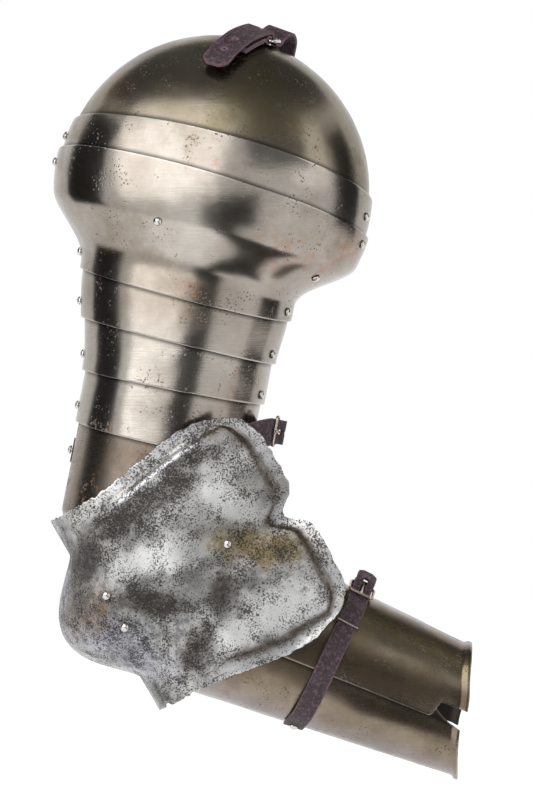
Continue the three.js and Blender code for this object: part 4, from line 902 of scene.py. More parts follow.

# %% [markdown]
# The elbow plate had rusted all over and was scoured back, so it is pale grey with a black speckle that
# gathers into patches, and the valley kept an olive crust. The groove of the step along its border is
# darkened as painted shade, and patches of painted shade and painted highlight lie over the plate. Where
# these lie was marked on the mesh while the plate was raised, and its material reads the marks.

# %% Scoured steel of the elbow plate
def scoured_steel(name, seed):
    material, tree, surface = blank_material(name)
    step, valley, pale_rim_and_highlight, shade, painted_highlight, umber, cool, inside = [mark_on(tree, mark) for mark in (
        "step", "valley", "pale_rim_and_highlight", "shade", "painted_highlight", "umber", "cool", "inside")]
    broad = use(tree, blotches, Scale=17.0, Level=0.4, Softness=0.2, Seed=seed)
    # The speckle is thicker in the patches of painted shade and thinner in those of painted highlight
    level = sums(tree, "MULTIPLY_ADD", shade, -0.05, sums(tree, "MULTIPLY_ADD", painted_highlight, 0.03, 0.525))
    cloud = use(tree, mottling, Scale=150.0, Level=0.53, Softness=0.14, Gather=0.9, Seed=seed + 3)
    speck = use(tree, mottling, Scale=850.0, Level=level, Softness=0.04, Gather=0.5, Seed=seed + 7)
    strength_mottle = use(tree, mottling, Scale=300.0, Level=0.42, Softness=0.14, Gather=0.6, Seed=seed + 12)
    edge = use(tree, rubbed, Width=1.6)
    brown = use(tree, blotches, Scale=24.0, Level=0.56, Softness=0.14, Seed=seed + 31)

    def mottled_strength(least, more):
        return sums(tree, "MULTIPLY_ADD", strength_mottle, more, least)
    olive_crust = blended(tree, cloud, (0.17, 0.125, 0.045, 1), (0.06, 0.045, 0.028, 1))
    olive = sums(tree, "MULTIPLY", valley, mottled_strength(0.55, 0.4))
    colour = blended(tree, broad, (0.19, 0.185, 0.175, 1), (0.5, 0.495, 0.475, 1))
    # The near-black layers of the shade patches, the step's groove and the inner faces are painted shade; the
    # near-white layer of the highlight patches and the brighter part of the pale rim are painted highlight
    colour = layered(
        tree, colour, (brown, 0.55, (0.2, 0.155, 0.095, 1)), (painted_highlight, 0.75, (0.86, 0.86, 0.84, 1)),
        (cool, 0.5, (0.42, 0.42, 0.5, 1)), (umber, mottled_strength(0.45, 0.4), (0.2, 0.13, 0.07, 1)),
        (cloud, 0.68, (0.12, 0.12, 0.125, 1)), (shade, mottled_strength(0.6, 0.25), (0.06, 0.05, 0.042, 1)),
        (olive, 1.0, olive_crust), (step, mottled_strength(0.75, 0.25), (0.062, 0.048, 0.03, 1)),
        (pale_rim_and_highlight, 1.0, (0.72, 0.72, 0.74, 1)), (edge, 0.4, (0.75, 0.73, 0.69, 1)),
        (speck, 0.9, SOOT_AND_SHADOW), (inside, 0.85, INSIDE_SHADE))
    spoiled = sums(tree, "MAXIMUM", sums(tree, "MULTIPLY", speck, 0.75), sums(tree, "MULTIPLY", olive, 0.8))
    spoiled = sums(tree, "MAXIMUM", spoiled, sums(tree, "MULTIPLY", cloud, 0.35))
    height = sums(tree, "MULTIPLY_ADD", speck, -1.0, sums(tree, "MULTIPLY", cloud, -0.5))
    feed(tree, surface, {
        "Base Color": colour, "Metallic": sums(tree, "MULTIPLY_ADD", spoiled, -0.6, 0.65),
        "Roughness": sums(tree, "MULTIPLY_ADD", spoiled, 0.3, 0.3), "Specular IOR Level": 0.25,
        "Normal": bumped(tree, height, 0.5, 0.4 * MM)})
    return material


elbow_steel = scoured_steel("Scoured steel", 23.0)

# %% [markdown]
# ## Leather
# The straps are dark purple-brown leather with a pebbled grain, whose edges have dried to a paler
# mauve. The hidden leathers that carry the lames are rough tan hide.

# %% Grain of leather
pebbles, given, result = new_group("Pebbled grain", {"Scale": 700.0}, ["Height"])
place = put(pebbles, "ShaderNodeTexCoord").outputs["Object"]
cells = cells_in(pebbles, place, given["Scale"], 0.9, "SMOOTH_F1")
cloud = cloud_in(pebbles, place, 900.0, 5.0)
pebbles.links.new(sums(pebbles, "MULTIPLY_ADD", cloud, 0.5, cells), result["Height"])


def leather(name, light, dark, edge_colour, scale, roughness, seed):
    material, tree, surface = blank_material(name)
    grain = use(tree, pebbles, Scale=scale)
    worn = use(tree, blotches, Scale=60.0, Level=0.42, Softness=0.25, Seed=seed)
    dust = use(tree, blotches, Scale=400.0, Level=0.5, Softness=0.15, Seed=seed + 3)
    edge = use(tree, rubbed, Width=1.8)
    colour = blended(tree, worn, (*dark, 1), (*light, 1))
    colour = blended(tree, ranged(tree, grain, 0.25, 0.75), colour, (*[value * 0.45 for value in dark], 1))
    colour = layered(tree, colour, (dust, 0.35, (*edge_colour, 1)), (edge, 0.7, (*edge_colour, 1)))
    feed(tree, surface, {
        "Base Color": colour, "Roughness": sums(tree, "MULTIPLY_ADD", worn, 0.12, roughness),
        "Normal": bumped(tree, grain, 0.6, 0.6 * MM, invert=True)})
    return material


strap_leather = leather("Strap leather", (0.16, 0.097, 0.118), (0.066, 0.037, 0.05), (0.29, 0.17, 0.2),
                        900.0, 0.6, 3.0)
tan_leather = leather("Tan leather", (0.34, 0.15, 0.065), (0.19, 0.075, 0.035), (0.42, 0.24, 0.13),
                      600.0, 0.75, 8.0)

# %% Plates of the shoulder and arm
upper_face, middle_face, lower_face = [arm_lame_face(level) for level in (1, 2, 3)]
PLATES = [
    ("shoulder_cap", cap_face, shoulder_frame, 240, 70, cap_steel,
     {"lap_shadow": cap_lap_shadow, "orange": orange_share(cap_face, shoulder_frame)}),
    ("shoulder_lame", lame_face, shoulder_frame, 200, 34, bright_steel, {"lap_shadow": lame_lap_shadow}),
    ("main_shoulder_plate", main_face, arm_frame, 200, 80, bright_steel,
     {"orange": orange_share(main_face, arm_frame)}),
    ("arm_lame_upper", upper_face, arm_frame, 170, 36, bright_steel, {"lap_shadow": foot_lap_shadow(upper_face, 0)}),
    ("arm_lame_middle", middle_face, arm_frame, 170, 34, bright_steel, {"lap_shadow": foot_lap_shadow(middle_face, 1)}),
    ("arm_lame_lower", lower_face, arm_frame, 170, 36, bright_steel, {"lap_shadow": foot_lap_shadow(lower_face, 2)}),
    ("upper_cannon", cannon_face, arm_frame, 180, 70, cannon_steel, {"lap_shadow": foot_lap_shadow(cannon_face, 3)}),
    ("couter", elbow_face, elbow_frame, 230, 150, elbow_steel,
     {"step": step_shade_share, "pale_rim_and_highlight": pale_rim_and_highlight_share,
      **{mark: patch_share(patches) for mark, patches in PATCHES.items()}}),
    ("forearm_rear_plate", rear_face, forearm_frame, 120, 130, forearm_steel,
     {"brown": rear_brown, "violet": rear_violet, "lap_shadow": rear_lap_shadow}),
    ("forearm_front_plate", door_face, forearm_frame, 120, 110, forearm_steel,
     {"brown": door_brown, "olive": door_olive, "violet": door_violet})]
for node, face, placed, across, down, finish, marks in PLATES:
    plate = raise_plate("plate_" + node, face, placed, across, down, node == "shoulder_cap", marks)
    fit(plate, node, finish)

# %% [markdown]
# ## Rivets
# A sliding rivet is a turned pin: a low dome outside, a shank through the plates, and a tail burred
# over a leather inside. One is modelled from a ball, cut through its middle, whose flat face is inset
# and drawn out to a shank. The copies are stretched to the plates that they hold. Their places come
# from the solids: a rivet is round, so its axis is the direction in which its spread differs.

# %% Selecting faces or edges in code
def edit_chosen(piece, kind, wanted, *steps):
    take(piece)
    bpy.ops.object.mode_set(mode="EDIT")
    bpy.ops.mesh.select_mode(type=kind)
    bpy.ops.mesh.select_all(action="DESELECT")
    bpy.ops.object.mode_set(mode="OBJECT")
    for element in piece.data.polygons if kind == "FACE" else piece.data.edges:
        element.select = wanted(element)
    bpy.ops.object.mode_set(mode="EDIT")
    for step in steps:
        step()
    bpy.ops.object.mode_set(mode="OBJECT")


def draw_out(length):
    bpy.ops.mesh.extrude_region_move(TRANSFORM_OT_translate={"value": (0, 0, -length * MM)})


# %% The model rivet
HEAD_RADIUS = 3.1
HEAD_HEIGHT = 2.2
SHANK_RADIUS = 1.5
SHANK_LENGTH = 1
TAIL_RADIUS = 2.4
TAIL_HEIGHT = 0.8

model_rivet = fresh("model_rivet", bpy.ops.mesh.primitive_uv_sphere_add,
                    segments=28, ring_count=18, radius=HEAD_RADIUS * MM)
edit(model_rivet,
     lambda: bpy.ops.transform.resize(value=(1, 1, HEAD_HEIGHT / HEAD_RADIUS)),
     lambda: bpy.ops.mesh.bisect(plane_co=(0, 0, 0), plane_no=(0, 0, 1), use_fill=True, clear_inner=True))
edit_chosen(model_rivet, "FACE", lambda face: face.normal.z < -0.9,
            lambda: bpy.ops.mesh.inset(thickness=(HEAD_RADIUS - SHANK_RADIUS) * MM),
            lambda: draw_out(SHANK_LENGTH),
            lambda: draw_out(0),
            lambda: bpy.ops.transform.resize(value=[TAIL_RADIUS / SHANK_RADIUS] * 2 + [1]),
            lambda: draw_out(TAIL_HEIGHT))
break_edges(model_rivet, 0.2)
print("model rivet", len(model_rivet.data.polygons), "faces")


# %% Finding each rivet's seat
def rivet_seat(node):
    spots = numpy.array([tuple(vertex.co) for vertex in frame["nodes"][node].data.vertices]) / MM
    spots = numpy.unique(spots.round(3), axis=0)
    middle = spots.mean(axis=0)
    spread, axes = numpy.linalg.eigh(numpy.cov((spots - middle).T))
    axis = axes[:, 2] if spread[2] - spread[1] > spread[1] - spread[0] else axes[:, 0]
    along = (spots - middle) @ axis
    across = numpy.linalg.norm(spots - middle - numpy.outer(along, axis), axis=1)
    seat = along[across > HEAD_RADIUS * 0.95].mean()
    shank = along[numpy.abs(across - SHANK_RADIUS) < 0.1].mean()
    sign = 1 if seat > shank else -1
    stack = sign * seat - (sign * along).min() - TAIL_HEIGHT
    return Vector(middle + axis * seat), Vector(axis * sign), stack


RIVETS = [node for node in frame["nodes"] if "rivet" in node or "pivot" in node]
for index, node in enumerate(RIVETS):
    seat, out, stack = rivet_seat(node)
    pin = bpy.data.objects.new("pin_" + node, model_rivet.data.copy())
    bpy.context.scene.collection.objects.link(pin)
    spun = out.to_track_quat("Z", "Y").to_matrix() @ Matrix.Rotation(index * 2.4, 3, "Z")
    for vertex in pin.data.vertices:
        place = vertex.co / MM
        if place.z < -SHANK_LENGTH / 2:
            place.z -= stack - SHANK_LENGTH
        dent = noise.noise(place * 0.5 + Vector((index * 3, 1, 0))) * 0.16
        place += Vector((dent, -dent, dent)) if place.z > 0 else Vector()
        vertex.co = (seat + spun @ place) * MM
    pin.data.update()
    smooth_shade(pin)
    fit(pin, node, rivet_steel)
bpy.data.objects.remove(model_rivet)
print(len(RIVETS), "rivets set")

# %% [markdown]
# ## Where straps run
# A strap is a curve with a width and a thickness. Each one is drawn through a few points that stand on
# the plates under it, and the buckles stand on the same points. In a buckle's own frame x runs from
# the bar that its chape is folded round to the far bar, y along the bars, and z out.

# %% A smooth path through points
def smooth_path(points, steps=24):
    first = points[0] * 2 - points[1]
    last = points[-1] * 2 - points[-2]
    ends = [first, *points, last]
    places = []
    for a, b, c, d in zip(ends, ends[1:], ends[2:], ends[3:]):
        gaps = [math.sqrt((q - p).length) for p, q in ((a, b), (b, c), (c, d))]
        start = ((b - a) / gaps[0] - (c - a) / (gaps[0] + gaps[1]) + (c - b) / gaps[1]) * gaps[1]
        finish = ((c - b) / gaps[1] - (d - b) / (gaps[1] + gaps[2]) + (d - c) / gaps[2]) * gaps[1]
        for step in range(steps):
            t = step / steps
            places.append(b * (2 * t ** 3 - 3 * t ** 2 + 1) + start * (t ** 3 - 2 * t ** 2 + t)
                          + c * (3 * t ** 2 - 2 * t ** 3) + finish * (t ** 3 - t ** 2))
    return [*places, points[-1]]


def spread_evenly(points, count):
    runs = [0]
    for a, b in zip(points, points[1:]):
        runs.append(runs[-1] + (b - a).length)
    even = []
    index = 0
    for step in range(count):
        want = runs[-1] * step / (count - 1)
        while index < len(points) - 2 and runs[index + 1] < want:
            index += 1
        share = (want - runs[index]) / (runs[index + 1] - runs[index])
        even.append(points[index].lerp(points[index + 1], share))
    return even, runs[-1]


# %% A strip of leather along a path
TIP_ROUND = 6
SLOT_HALF = 1.6


def lay_strip(name, points, side_at, width, thickness, rounded=True, slot=None, spacing=1.1):
    count = int(spread_evenly(points, 2)[1] / spacing)
    path, length = spread_evenly(points, count)
    piece = flat_grid(name, 6, count - 1)
    rows = []
    for index, place in enumerate(path):
        along = (path[min(index + 1, count - 1)] - path[max(index - 1, 0)]).normalized()
        out = along.cross(side_at(place)).normalized()
        from_tip = length * (1 - index / (count - 1))
        wide = 1 - 0.55 * max(0, 1 - from_tip / TIP_ROUND) ** 2 if rounded else 1
        rows.append((place, out.cross(along).normalized() * wide))
    rim = []
    for vertex in piece.data.vertices:
        row = round((1 - vertex.co.y) / 2 * (count - 1))
        place, side = rows[row]
        edge = abs(vertex.co.x) > 1 - 1e-5
        column = round(vertex.co.x * 3)
        if slot and abs(column) == 1:
            across = column * SLOT_HALF
        else:
            across = vertex.co.x * width / 2
        vertex.co = (place + side * across) * MM
        if edge or row == count - 1:
            rim.append(vertex.co.copy())
    if slot:
        into_slot, x0, x1, height = slot

        def in_slot(face):
            spot = into_slot @ (face.center / MM)
            return x0 < spot.x < x1 and abs(spot.y) < SLOT_HALF and abs(spot.z) < height
        edit_chosen(piece, "FACE", in_slot, lambda: bpy.ops.mesh.delete(type="FACE"))
    apply_modifier(piece, "SOLIDIFY", thickness=thickness * MM, offset=0)
    return piece, rim


def finish_strip(piece, rim, node, material, rides=True):
    edit(piece, lambda: bpy.ops.mesh.normals_make_consistent(inside=False))
    break_edges(piece, 0.3)
    smooth_shade(piece)
    mark_rim(piece, rim)
    print(piece.name, len(piece.data.polygons), "faces")
    return fit(piece, node, material, rides)


# %% Cutting and joining with other solids
PUNCH_LENGTH = 9


def combine(piece, other, operation):
    apply_modifier(piece, "BOOLEAN", object=other, operation=operation, solver="EXACT")
    bpy.data.objects.remove(other)


def punch(piece, placed, radius):
    tool = fresh("punch", bpy.ops.mesh.primitive_cylinder_add,
                 vertices=16, radius=radius * MM, depth=PUNCH_LENGTH * MM)
    tool.data.transform(Matrix.Scale(MM, 4) @ placed @ Matrix.Scale(1 / MM, 4))
    combine(piece, tool, "DIFFERENCE")


# %% Frame of a buckle
def buckle_frame(place, along, out):
    z = out.normalized()
    x = (along - z * along.dot(z)).normalized()
    placed = Matrix((x, z.cross(x), z)).transposed().to_4x4()
    placed.translation = place
    return placed


def side_of(placed):
    return placed.to_3x3() @ Vector((0, 1, 0))


def facing(normal, away):
    unit = normal.normalized()
    return unit if unit.dot(away) > 0 else -unit


WIRE = 2.2
STRAP = 2
CHAPE = 1.6
PLAY = 0.3
BAR_EYE = WIRE / 2 * math.sqrt(2) + PLAY
FOLD_OUTER = BAR_EYE + CHAPE
BAR_LIFT = FOLD_OUTER + PLAY
UNDER_FAR = -WIRE / 2 - STRAP / 2 - 3 * PLAY
OVER_FIXED = FOLD_OUTER + STRAP / 2 + 2 * PLAY
FRAME_LENGTH = 13
DOOR_FRAME_LENGTH = 18
FOLD = 8
DOOR_STRAP_WIDTH = 14


def thread(placed, length):
    points = [(length + 2 * WIRE, UNDER_FAR), (length, UNDER_FAR),
              (length / 2, (UNDER_FAR + OVER_FIXED) / 2), (WIRE, OVER_FIXED), (-WIRE, OVER_FIXED)]
    return [placed @ Vector((x, 0, z)) for x, z in points]


# %% On the shoulder cap
CAP_RADIUS = BALL_RADIUS - 2 * LAYER
CAP_DEPTH = BALL_DEPTH - 2 * LAYER
STRAP_SKEW = degrees(28)
TAB_LIFT = CHAPE + 3 * PLAY
TIP_LIFT = TAB_LIFT + CHAPE + HEAD_HEIGHT + STRAP / 2 + 4 * PLAY
BILLET_REACH = 49


def cap_out(place):
    steep = Vector((place.x / CAP_RADIUS ** 2, place.y / CAP_DEPTH ** 2, place.z / CAP_RADIUS ** 2))
    return steep.normalized()


def on_cap(x, y, lift):
    level = math.sqrt(max(0, 1 - (y / CAP_DEPTH) ** 2 - (x / CAP_RADIUS) ** 2))
    place = Vector((x, y, CAP_RADIUS * level))
    return place + cap_out(place) * lift


shoulder_bar = on_cap(1, -11, BAR_LIFT)
shoulder_buckle = buckle_frame(
    shoulder_bar, Vector((math.sin(STRAP_SKEW), math.cos(STRAP_SKEW), 0)), cap_out(shoulder_bar))


def from_bar(distance, lift):
    x = shoulder_bar.x - distance * math.sin(STRAP_SKEW)
    y = shoulder_bar.y - distance * math.cos(STRAP_SKEW) * math.cos(degrees(0.25) * distance)
    return on_cap(x, y, lift)


print("shoulder buckle", (shoulder_frame @ shoulder_buckle).translation)

# %% Round the upper arm
ARM_STRAP_DROP = ELBOW_DROP * 0.6221 + 11
ARM_BUCKLE_TURN = degrees(176)
ARM_FRAME_TURN = degrees(11)
ARM_ROOT_TURN = degrees(110)
ARM_SLACK = 13
SLACK_TURN = degrees(22)
STRAP_CLIMB = 40
CLIMB_TURN = degrees(52)
BAND_ROOT = STRAP / 2 + PLAY


def strap_height(turn):
    if turn < ARM_BUCKLE_TURN:
        climb = smooth(turn, ARM_ROOT_TURN, ARM_BUCKLE_TURN - ARM_FRAME_TURN)
    else:
        climb = bell(turn - ARM_BUCKLE_TURN, CLIMB_TURN)
    return STRAP_CLIMB * climb - ARM_STRAP_DROP


def arm_band(turn, lift):
    height = strap_height(turn)
    over = smooth(height + ARM_STRAP_DROP, 2, 7) * LAYER
    return main_point(turn, height, 4 * LAYER - over - 0.15 - lift)


def slack(turn):
    return BAND_ROOT + ARM_SLACK * bell(turn - ARM_BUCKLE_TURN, SLACK_TURN)


arm_bar = arm_band(ARM_BUCKLE_TURN, BAND_ROOT + ARM_SLACK)
arm_far = ARM_BUCKLE_TURN - ARM_FRAME_TURN
arm_buckle = buckle_frame(
    arm_bar, arm_band(arm_far, slack(arm_far)) - arm_bar, Vector((arm_bar.x, arm_bar.y, 0)))
print("arm buckle", (arm_frame @ arm_buckle).translation)


def arm_side(at):
    side = side_of(arm_buckle)
    away = smooth((at - arm_buckle.translation).length, FRAME_LENGTH, 50)
    return side.lerp(Vector((0, 0, math.copysign(1, side.z))), away)


# %% Round the forearm
DOOR_BUCKLE_TURN = degrees(8)
DOOR_FRAME_TURN = degrees(24)
DOOR_BUCKLE_X = 142.5
DOOR_ROOT_X = 134


def on_forearm(turn, x, lift):
    step = 0.01
    round_it = forearm_point(turn - step, x, 0) - forearm_point(turn + step, x, 0)
    down_it = forearm_point(turn, x + step, 0) - forearm_point(turn, x - step, 0)
    place = forearm_point(turn, x, 0)
    return place + facing(round_it.cross(down_it), Vector((0, place.y, place.z))) * lift


DOOR_EXTRA_LIFT = 1.3
door_lift = BAR_LIFT + DOOR_EXTRA_LIFT
door_bar = on_forearm(DOOR_BUCKLE_TURN, DOOR_BUCKLE_X, door_lift)
door_far = on_forearm(DOOR_BUCKLE_TURN + DOOR_FRAME_TURN, DOOR_BUCKLE_X, door_lift)
door_middle = DOOR_BUCKLE_TURN + DOOR_FRAME_TURN / 2
door_buckle = buckle_frame(
    door_bar, door_far - door_bar,
    on_forearm(door_middle, DOOR_BUCKLE_X, 1) - on_forearm(door_middle, DOOR_BUCKLE_X, 0))
print("forearm buckle", (forearm_frame @ door_buckle).translation)


def narrows(sizes, x):
    fall = sizes[0] - sizes[1]
    return fall / (sizes[0] * FOREARM_LENGTH - fall * x)


def door_side(at):
    return Vector((1, -at.y * narrows(FOREARM_DEPTH, at.x), -at.z * narrows(FOREARM_HALF, at.x)))


# %% The three straps: frames of group and buckle, sideways direction, width and length of the buckle
STRAPS = {
    "shoulder": (shoulder_frame, shoulder_buckle, lambda at: side_of(shoulder_buckle), 20, FRAME_LENGTH),
    "arm": (arm_frame, arm_buckle, arm_side, 17, FRAME_LENGTH),
    "forearm": (forearm_frame, door_buckle, door_side, DOOR_STRAP_WIDTH, DOOR_FRAME_LENGTH)}


def side_in_world(group, side_at):
    turned = group.to_3x3()
    back = group.inverted()
    return lambda at: turned @ side_at(back @ at)


# %% [markdown]
# ## Buckles
# Each buckle is one wire, bent to a rectangle and brazed, with a tongue of thinner wire hooked round its
# fixed bar. Wire is easiest as a ring of points moved onto its middle line, turned into a curve with
# a round section, and back into a mesh.

# %% Bent wire
def bend_wire(name, points, radius, closed=True):
    piece = fresh(name, bpy.ops.mesh.primitive_circle_add, vertices=len(points), radius=MM)
    for vertex, point in zip(piece.data.vertices, points):
        vertex.co = point * MM
    if not closed:
        ends = {0, len(points) - 1}
        edit_chosen(piece, "EDGE", lambda edge: set(edge.vertices) == ends,
                    lambda: bpy.ops.mesh.delete(type="EDGE"))
    take(piece)
    bpy.ops.object.convert(target="CURVE")
    piece.data.bevel_depth = radius * MM
    piece.data.bevel_resolution = 4
    piece.data.use_fill_caps = True
    bpy.ops.object.convert(target="MESH")
    piece = bpy.context.object
    piece.data.name = name
    smooth_shade(piece, 50)
    return piece


def rounded_rectangle(x0, x1, half, corner, steps=7):
    points = []
    for x, y, start in ((x1, half, 0), (x0, half, QUARTER), (x0, -half, HALF), (x1, -half, -QUARTER)):
        middle = Vector((x - math.copysign(corner, x - (x0 + x1) / 2), y - math.copysign(corner, y)))
        for step in range(steps):
            turn = start + QUARTER * step / (steps - 1)
            points.append((middle.x + corner * math.cos(turn), middle.y + corner * math.sin(turn)))
    return points


# %% Frames and tongues of the three buckles
TONGUE_RADIUS = 0.95
FRAME_CORNER = 2.4
for name, (group, buckle, side_at, width, length) in STRAPS.items():
    placed = group @ buckle
    finish = nickel if name == "shoulder" else brass
    half = width / 2 + 2 * PLAY + WIRE / 2
    bent = [placed @ Vector((x, y, 0)) for x, y in rounded_rectangle(0, length, half, FRAME_CORNER)]
    frame_wire = bend_wire("wire_" + name + "_buckle", bent, WIRE / 2)
    fit(frame_wire, name + "_buckle_frame", finish)
    hook = BAR_EYE + TONGUE_RADIUS * 0.7
    level = WIRE / 2 + PLAY + 0.6
    rise = math.asin(level / hook)
    arc = [(hook * math.cos(turn), hook * math.sin(turn))
           for turn in numpy.linspace(rise - degrees(330), rise, 22)]
    run = [(mix(hook * math.cos(rise), length + WIRE, share), level) for share in (0.2, 0.5, 0.8, 1)]
    bent = [placed @ Vector((x, 0, z)) for x, z in [*arc, *run]]
    tongue = bend_wire("wire_" + name + "_tongue", bent, TONGUE_RADIUS, closed=False)
    fit(tongue, name + "_buckle_tongue", finish)

# %% Keeper of the forearm strap
DOOR_STEPS = 14
DOOR_RUN = (degrees(166), DOOR_BUCKLE_TURN + DOOR_FRAME_TURN * 1.6)


def door_run(share):
    turn = mix(*DOOR_RUN, share)
    rise = 1.8 * smooth(share, 0.1, 0.45) - LAYER * (1 - smooth(share, 0.12, 0.32))
    return on_forearm(turn, mix(DOOR_ROOT_X, DOOR_BUCKLE_X, share), BAND_ROOT + 0.5 + rise)


keeper_share = round(0.85 * DOOR_STEPS) / DOOR_STEPS
keeper_spot = door_run(keeper_share)
keeper_along = (door_run(keeper_share + 0.02) - door_run(keeper_share - 0.02)).normalized()
keeper_out = keeper_along.cross(door_side(keeper_spot)).normalized()
keeper_frame = forearm_frame @ buckle_frame(keeper_spot, keeper_along, keeper_out)
KEEPER_WIRE = 0.55
keeper_half = DOOR_STRAP_WIDTH / 2 + PLAY + KEEPER_WIRE
keeper_rise = STRAP / 2 + PLAY + KEEPER_WIRE
outline = rounded_rectangle(-keeper_rise, keeper_rise, keeper_half, 1)
keeper = bend_wire("wire_keeper", [keeper_frame @ Vector((0, y, z)) for z, y in outline], KEEPER_WIRE)
fit(keeper, "forearm_keeper", brass)

# %% [markdown]
# ## Straps
# The straps are cut from one hide, 2 mm thick, and a chape is a piece of the same leather folded round
# the buckle's bar. Each is a grid laid along its path. The faces in the tongue's slot are deleted, so
# that the slot bends with the leather. Solidify gives the thickness, the holes are cut through with
# Boolean, because a punch is round and the grid is square, and Bevel rounds the cut edges.

# %% The three billets
def hole_at(points, from_tip, side_at):
    even, length = spread_evenly(points, 400)
    index = round((1 - from_tip / length) * 399)
    along = even[index + 1] - even[index - 1]
    return buckle_frame(even[index], along, along.cross(side_at(even[index])))


HOLE_RADIUS = 1.3


def make_billet(name, points, *holes):
    group, buckle, side_at, width, length = STRAPS[name]
    points = smooth_path(points)
    world = [group @ point for point in points]
    slot = ((group @ buckle).inverted(), -1, 0.75 * length, length)
    strip, rim = lay_strip("strap_" + name, world, side_in_world(group, side_at), width, STRAP, slot=slot)
    for from_tip in holes:
        spot = group @ hole_at(points, from_tip, side_at)
        punch(strip, spot, HOLE_RADIUS)
        rim += [(spot @ Vector((HOLE_RADIUS * math.cos(turn), HOLE_RADIUS * math.sin(turn), z))) * MM
                for turn in numpy.linspace(0, 2 * HALF, 12) for z in (-1, 1)]
    finish_strip(strip, rim, name + "_billet", strap_leather)


def loop_points():
    spots = [(1, -12), (0.9, 0), (0.63, 5), (0.33, 2)]
    return [shoulder_buckle @ Vector((FRAME_LENGTH + 27 * share, 0, z)) for share, z in spots]


shoulder_points = [*loop_points(), *thread(shoulder_buckle, FRAME_LENGTH),
                   *[from_bar(share * BILLET_REACH, TIP_LIFT) for share in (0.45, 0.75, 1)]]
ARM_SHARES = (0, 0.05, 0.12, 0.2, 0.3, 0.4, 0.5, 0.6, 0.75)
arm_turns = [mix(ARM_ROOT_TURN, arm_far, share) for share in ARM_SHARES]
arm_points = [*[arm_band(turn, slack(turn)) for turn in arm_turns], *thread(arm_buckle, FRAME_LENGTH),
              arm_buckle @ Vector((-9, 0, OVER_FIXED - STRAP))]
door_points = [*[door_run(step / DOOR_STEPS) for step in range(DOOR_STEPS + 1)],
               *thread(door_buckle, DOOR_FRAME_LENGTH),
               door_buckle @ Vector((-13, 0, OVER_FIXED + PLAY))]
make_billet("shoulder", shoulder_points, 17, 31)
make_billet("arm", arm_points, 7)
make_billet("forearm", door_points, 9)


# %% The three chapes, folded round their bars
UNDER_TAB = 60
UNDER_ARM_TAB = 16


def make_chape(name, tab, under):
    group, buckle, side_at, width = STRAPS[name][:4]
    top = smooth_path([buckle @ Vector((-FOLD + WIRE, 0, 0)), *tab])
    lift = CHAPE / 2 + 0.03
    lifted = []
    for a, b, c in zip([top[0] * 2 - top[1], *top], top, [*top[1:], top[-1] * 2 - top[-2]]):
        out = (c - a).cross(side_at(b)).normalized()
        lifted.append((b, out))
    ring = BAR_EYE + CHAPE / 2
    fold = [buckle @ Vector((ring * math.cos(turn), 0, ring * math.sin(turn)))
            for turn in numpy.linspace(degrees(140), -degrees(140), 22)]
    over = [b + out * lift for b, out in reversed(lifted)]
    back = [b - out * lift for b, out in lifted]
    even, run = spread_evenly(back, 200)
    kept = [spot for index, spot in enumerate(even) if index / 199 * run <= under]
    path = [group @ spot for spot in [*over, *fold, *kept]]
    slot = ((group @ buckle).inverted(), -FOLD_OUTER - PLAY, 2 * FOLD_OUTER, 2 * FOLD_OUTER)
    strip, rim = lay_strip("chape_" + name, path, side_in_world(group, side_at), width, CHAPE * 0.96,
                           rounded=False, slot=slot)
    finish_strip(strip, rim, name + "_chape", strap_leather)


shoulder_tab = [from_bar(distance, TAB_LIFT) for distance in (18, 28)]
arm_chape_shares = (0.04, 0.12, 0.25, 0.4, 0.55, 0.7, 0.85, 0.95, 1)
arm_chape_start = ARM_BUCKLE_TURN + ARM_FRAME_TURN
arm_tab = []
for share in arm_chape_shares:
    turn = mix(arm_chape_start, degrees(355), share)
    arm_tab.append(arm_band(turn, slack(turn) + 4 * math.sin(share * HALF)))
door_tab = [on_forearm(DOOR_BUCKLE_TURN - share * degrees(34), DOOR_BUCKLE_X, TAB_LIFT)
            for share in (0.4, 0.75, 1)]
make_chape("shoulder", shoulder_tab, UNDER_TAB)
make_chape("arm", arm_tab, UNDER_ARM_TAB)
make_chape("forearm", door_tab, UNDER_TAB)

# %% [markdown]
# ## Leathers inside the arm
# The lames hang on two leathers, one behind and one in front, and every sliding rivet goes through one.
# Each steps inward as it passes under the next plate's edge.

# %% Rear and front leathers
LEATHER_WIDTH = 16
LEATHER_SLACK = 0.5
LEATHER_TAIL = 7
RIVET_RISE = 11
REAR_TURN = degrees(2)
FRONT_TURNS = (degrees(151), degrees(160))
FRONT_SHIFT = (48, 80)


def plates_over(turn, height):
    level = 0
    for edge in FOOT_EDGES:
        top = edge_height(edge, turn) + LAME_LAP
        level += 1 - smooth(height, top + 2, top + 8)
    return level


def hang(strip, hinge_body):
    joint = next(entry for entry in record["behaviour"]["joints"] if entry["child"] == hinge_body)
    pivot = Vector(joint["pos_m"])
    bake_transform(strip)


def inner_leather(name, turn_at, top, foot, node):
    path = []
    for step in range(41):
        height = mix(top, foot, step / 40)
        turn = turn_at(height)
        inset = plates_over(turn, height) * LAYER
        place = main_point(turn, height, inset)
        out = (main_point(turn + 0.02, height, inset) - main_point(turn - 0.02, height, inset)).cross(
            main_point(turn, height + 0.5, inset) - main_point(turn, height - 0.5, inset))
        outward = facing(out, Vector((place.x, place.y, 0)))
        path.append(place - outward * (GAUGE + LEATHER_SLACK + CHAPE / 2))

    def side_at(at):
        local = arm_frame.inverted() @ at
        turn = turn_at(local.z)
        side = main_point(turn + 0.02, local.z, 0) - main_point(turn - 0.02, local.z, 0)
        return arm_frame.to_3x3() @ -side
    strip, rim = lay_strip(
        name, [arm_frame @ place for place in path], side_at, LEATHER_WIDTH, CHAPE, rounded=False)
    hang(finish_strip(strip, rim, node, tan_leather, rides=False), "arm_lame_upper")


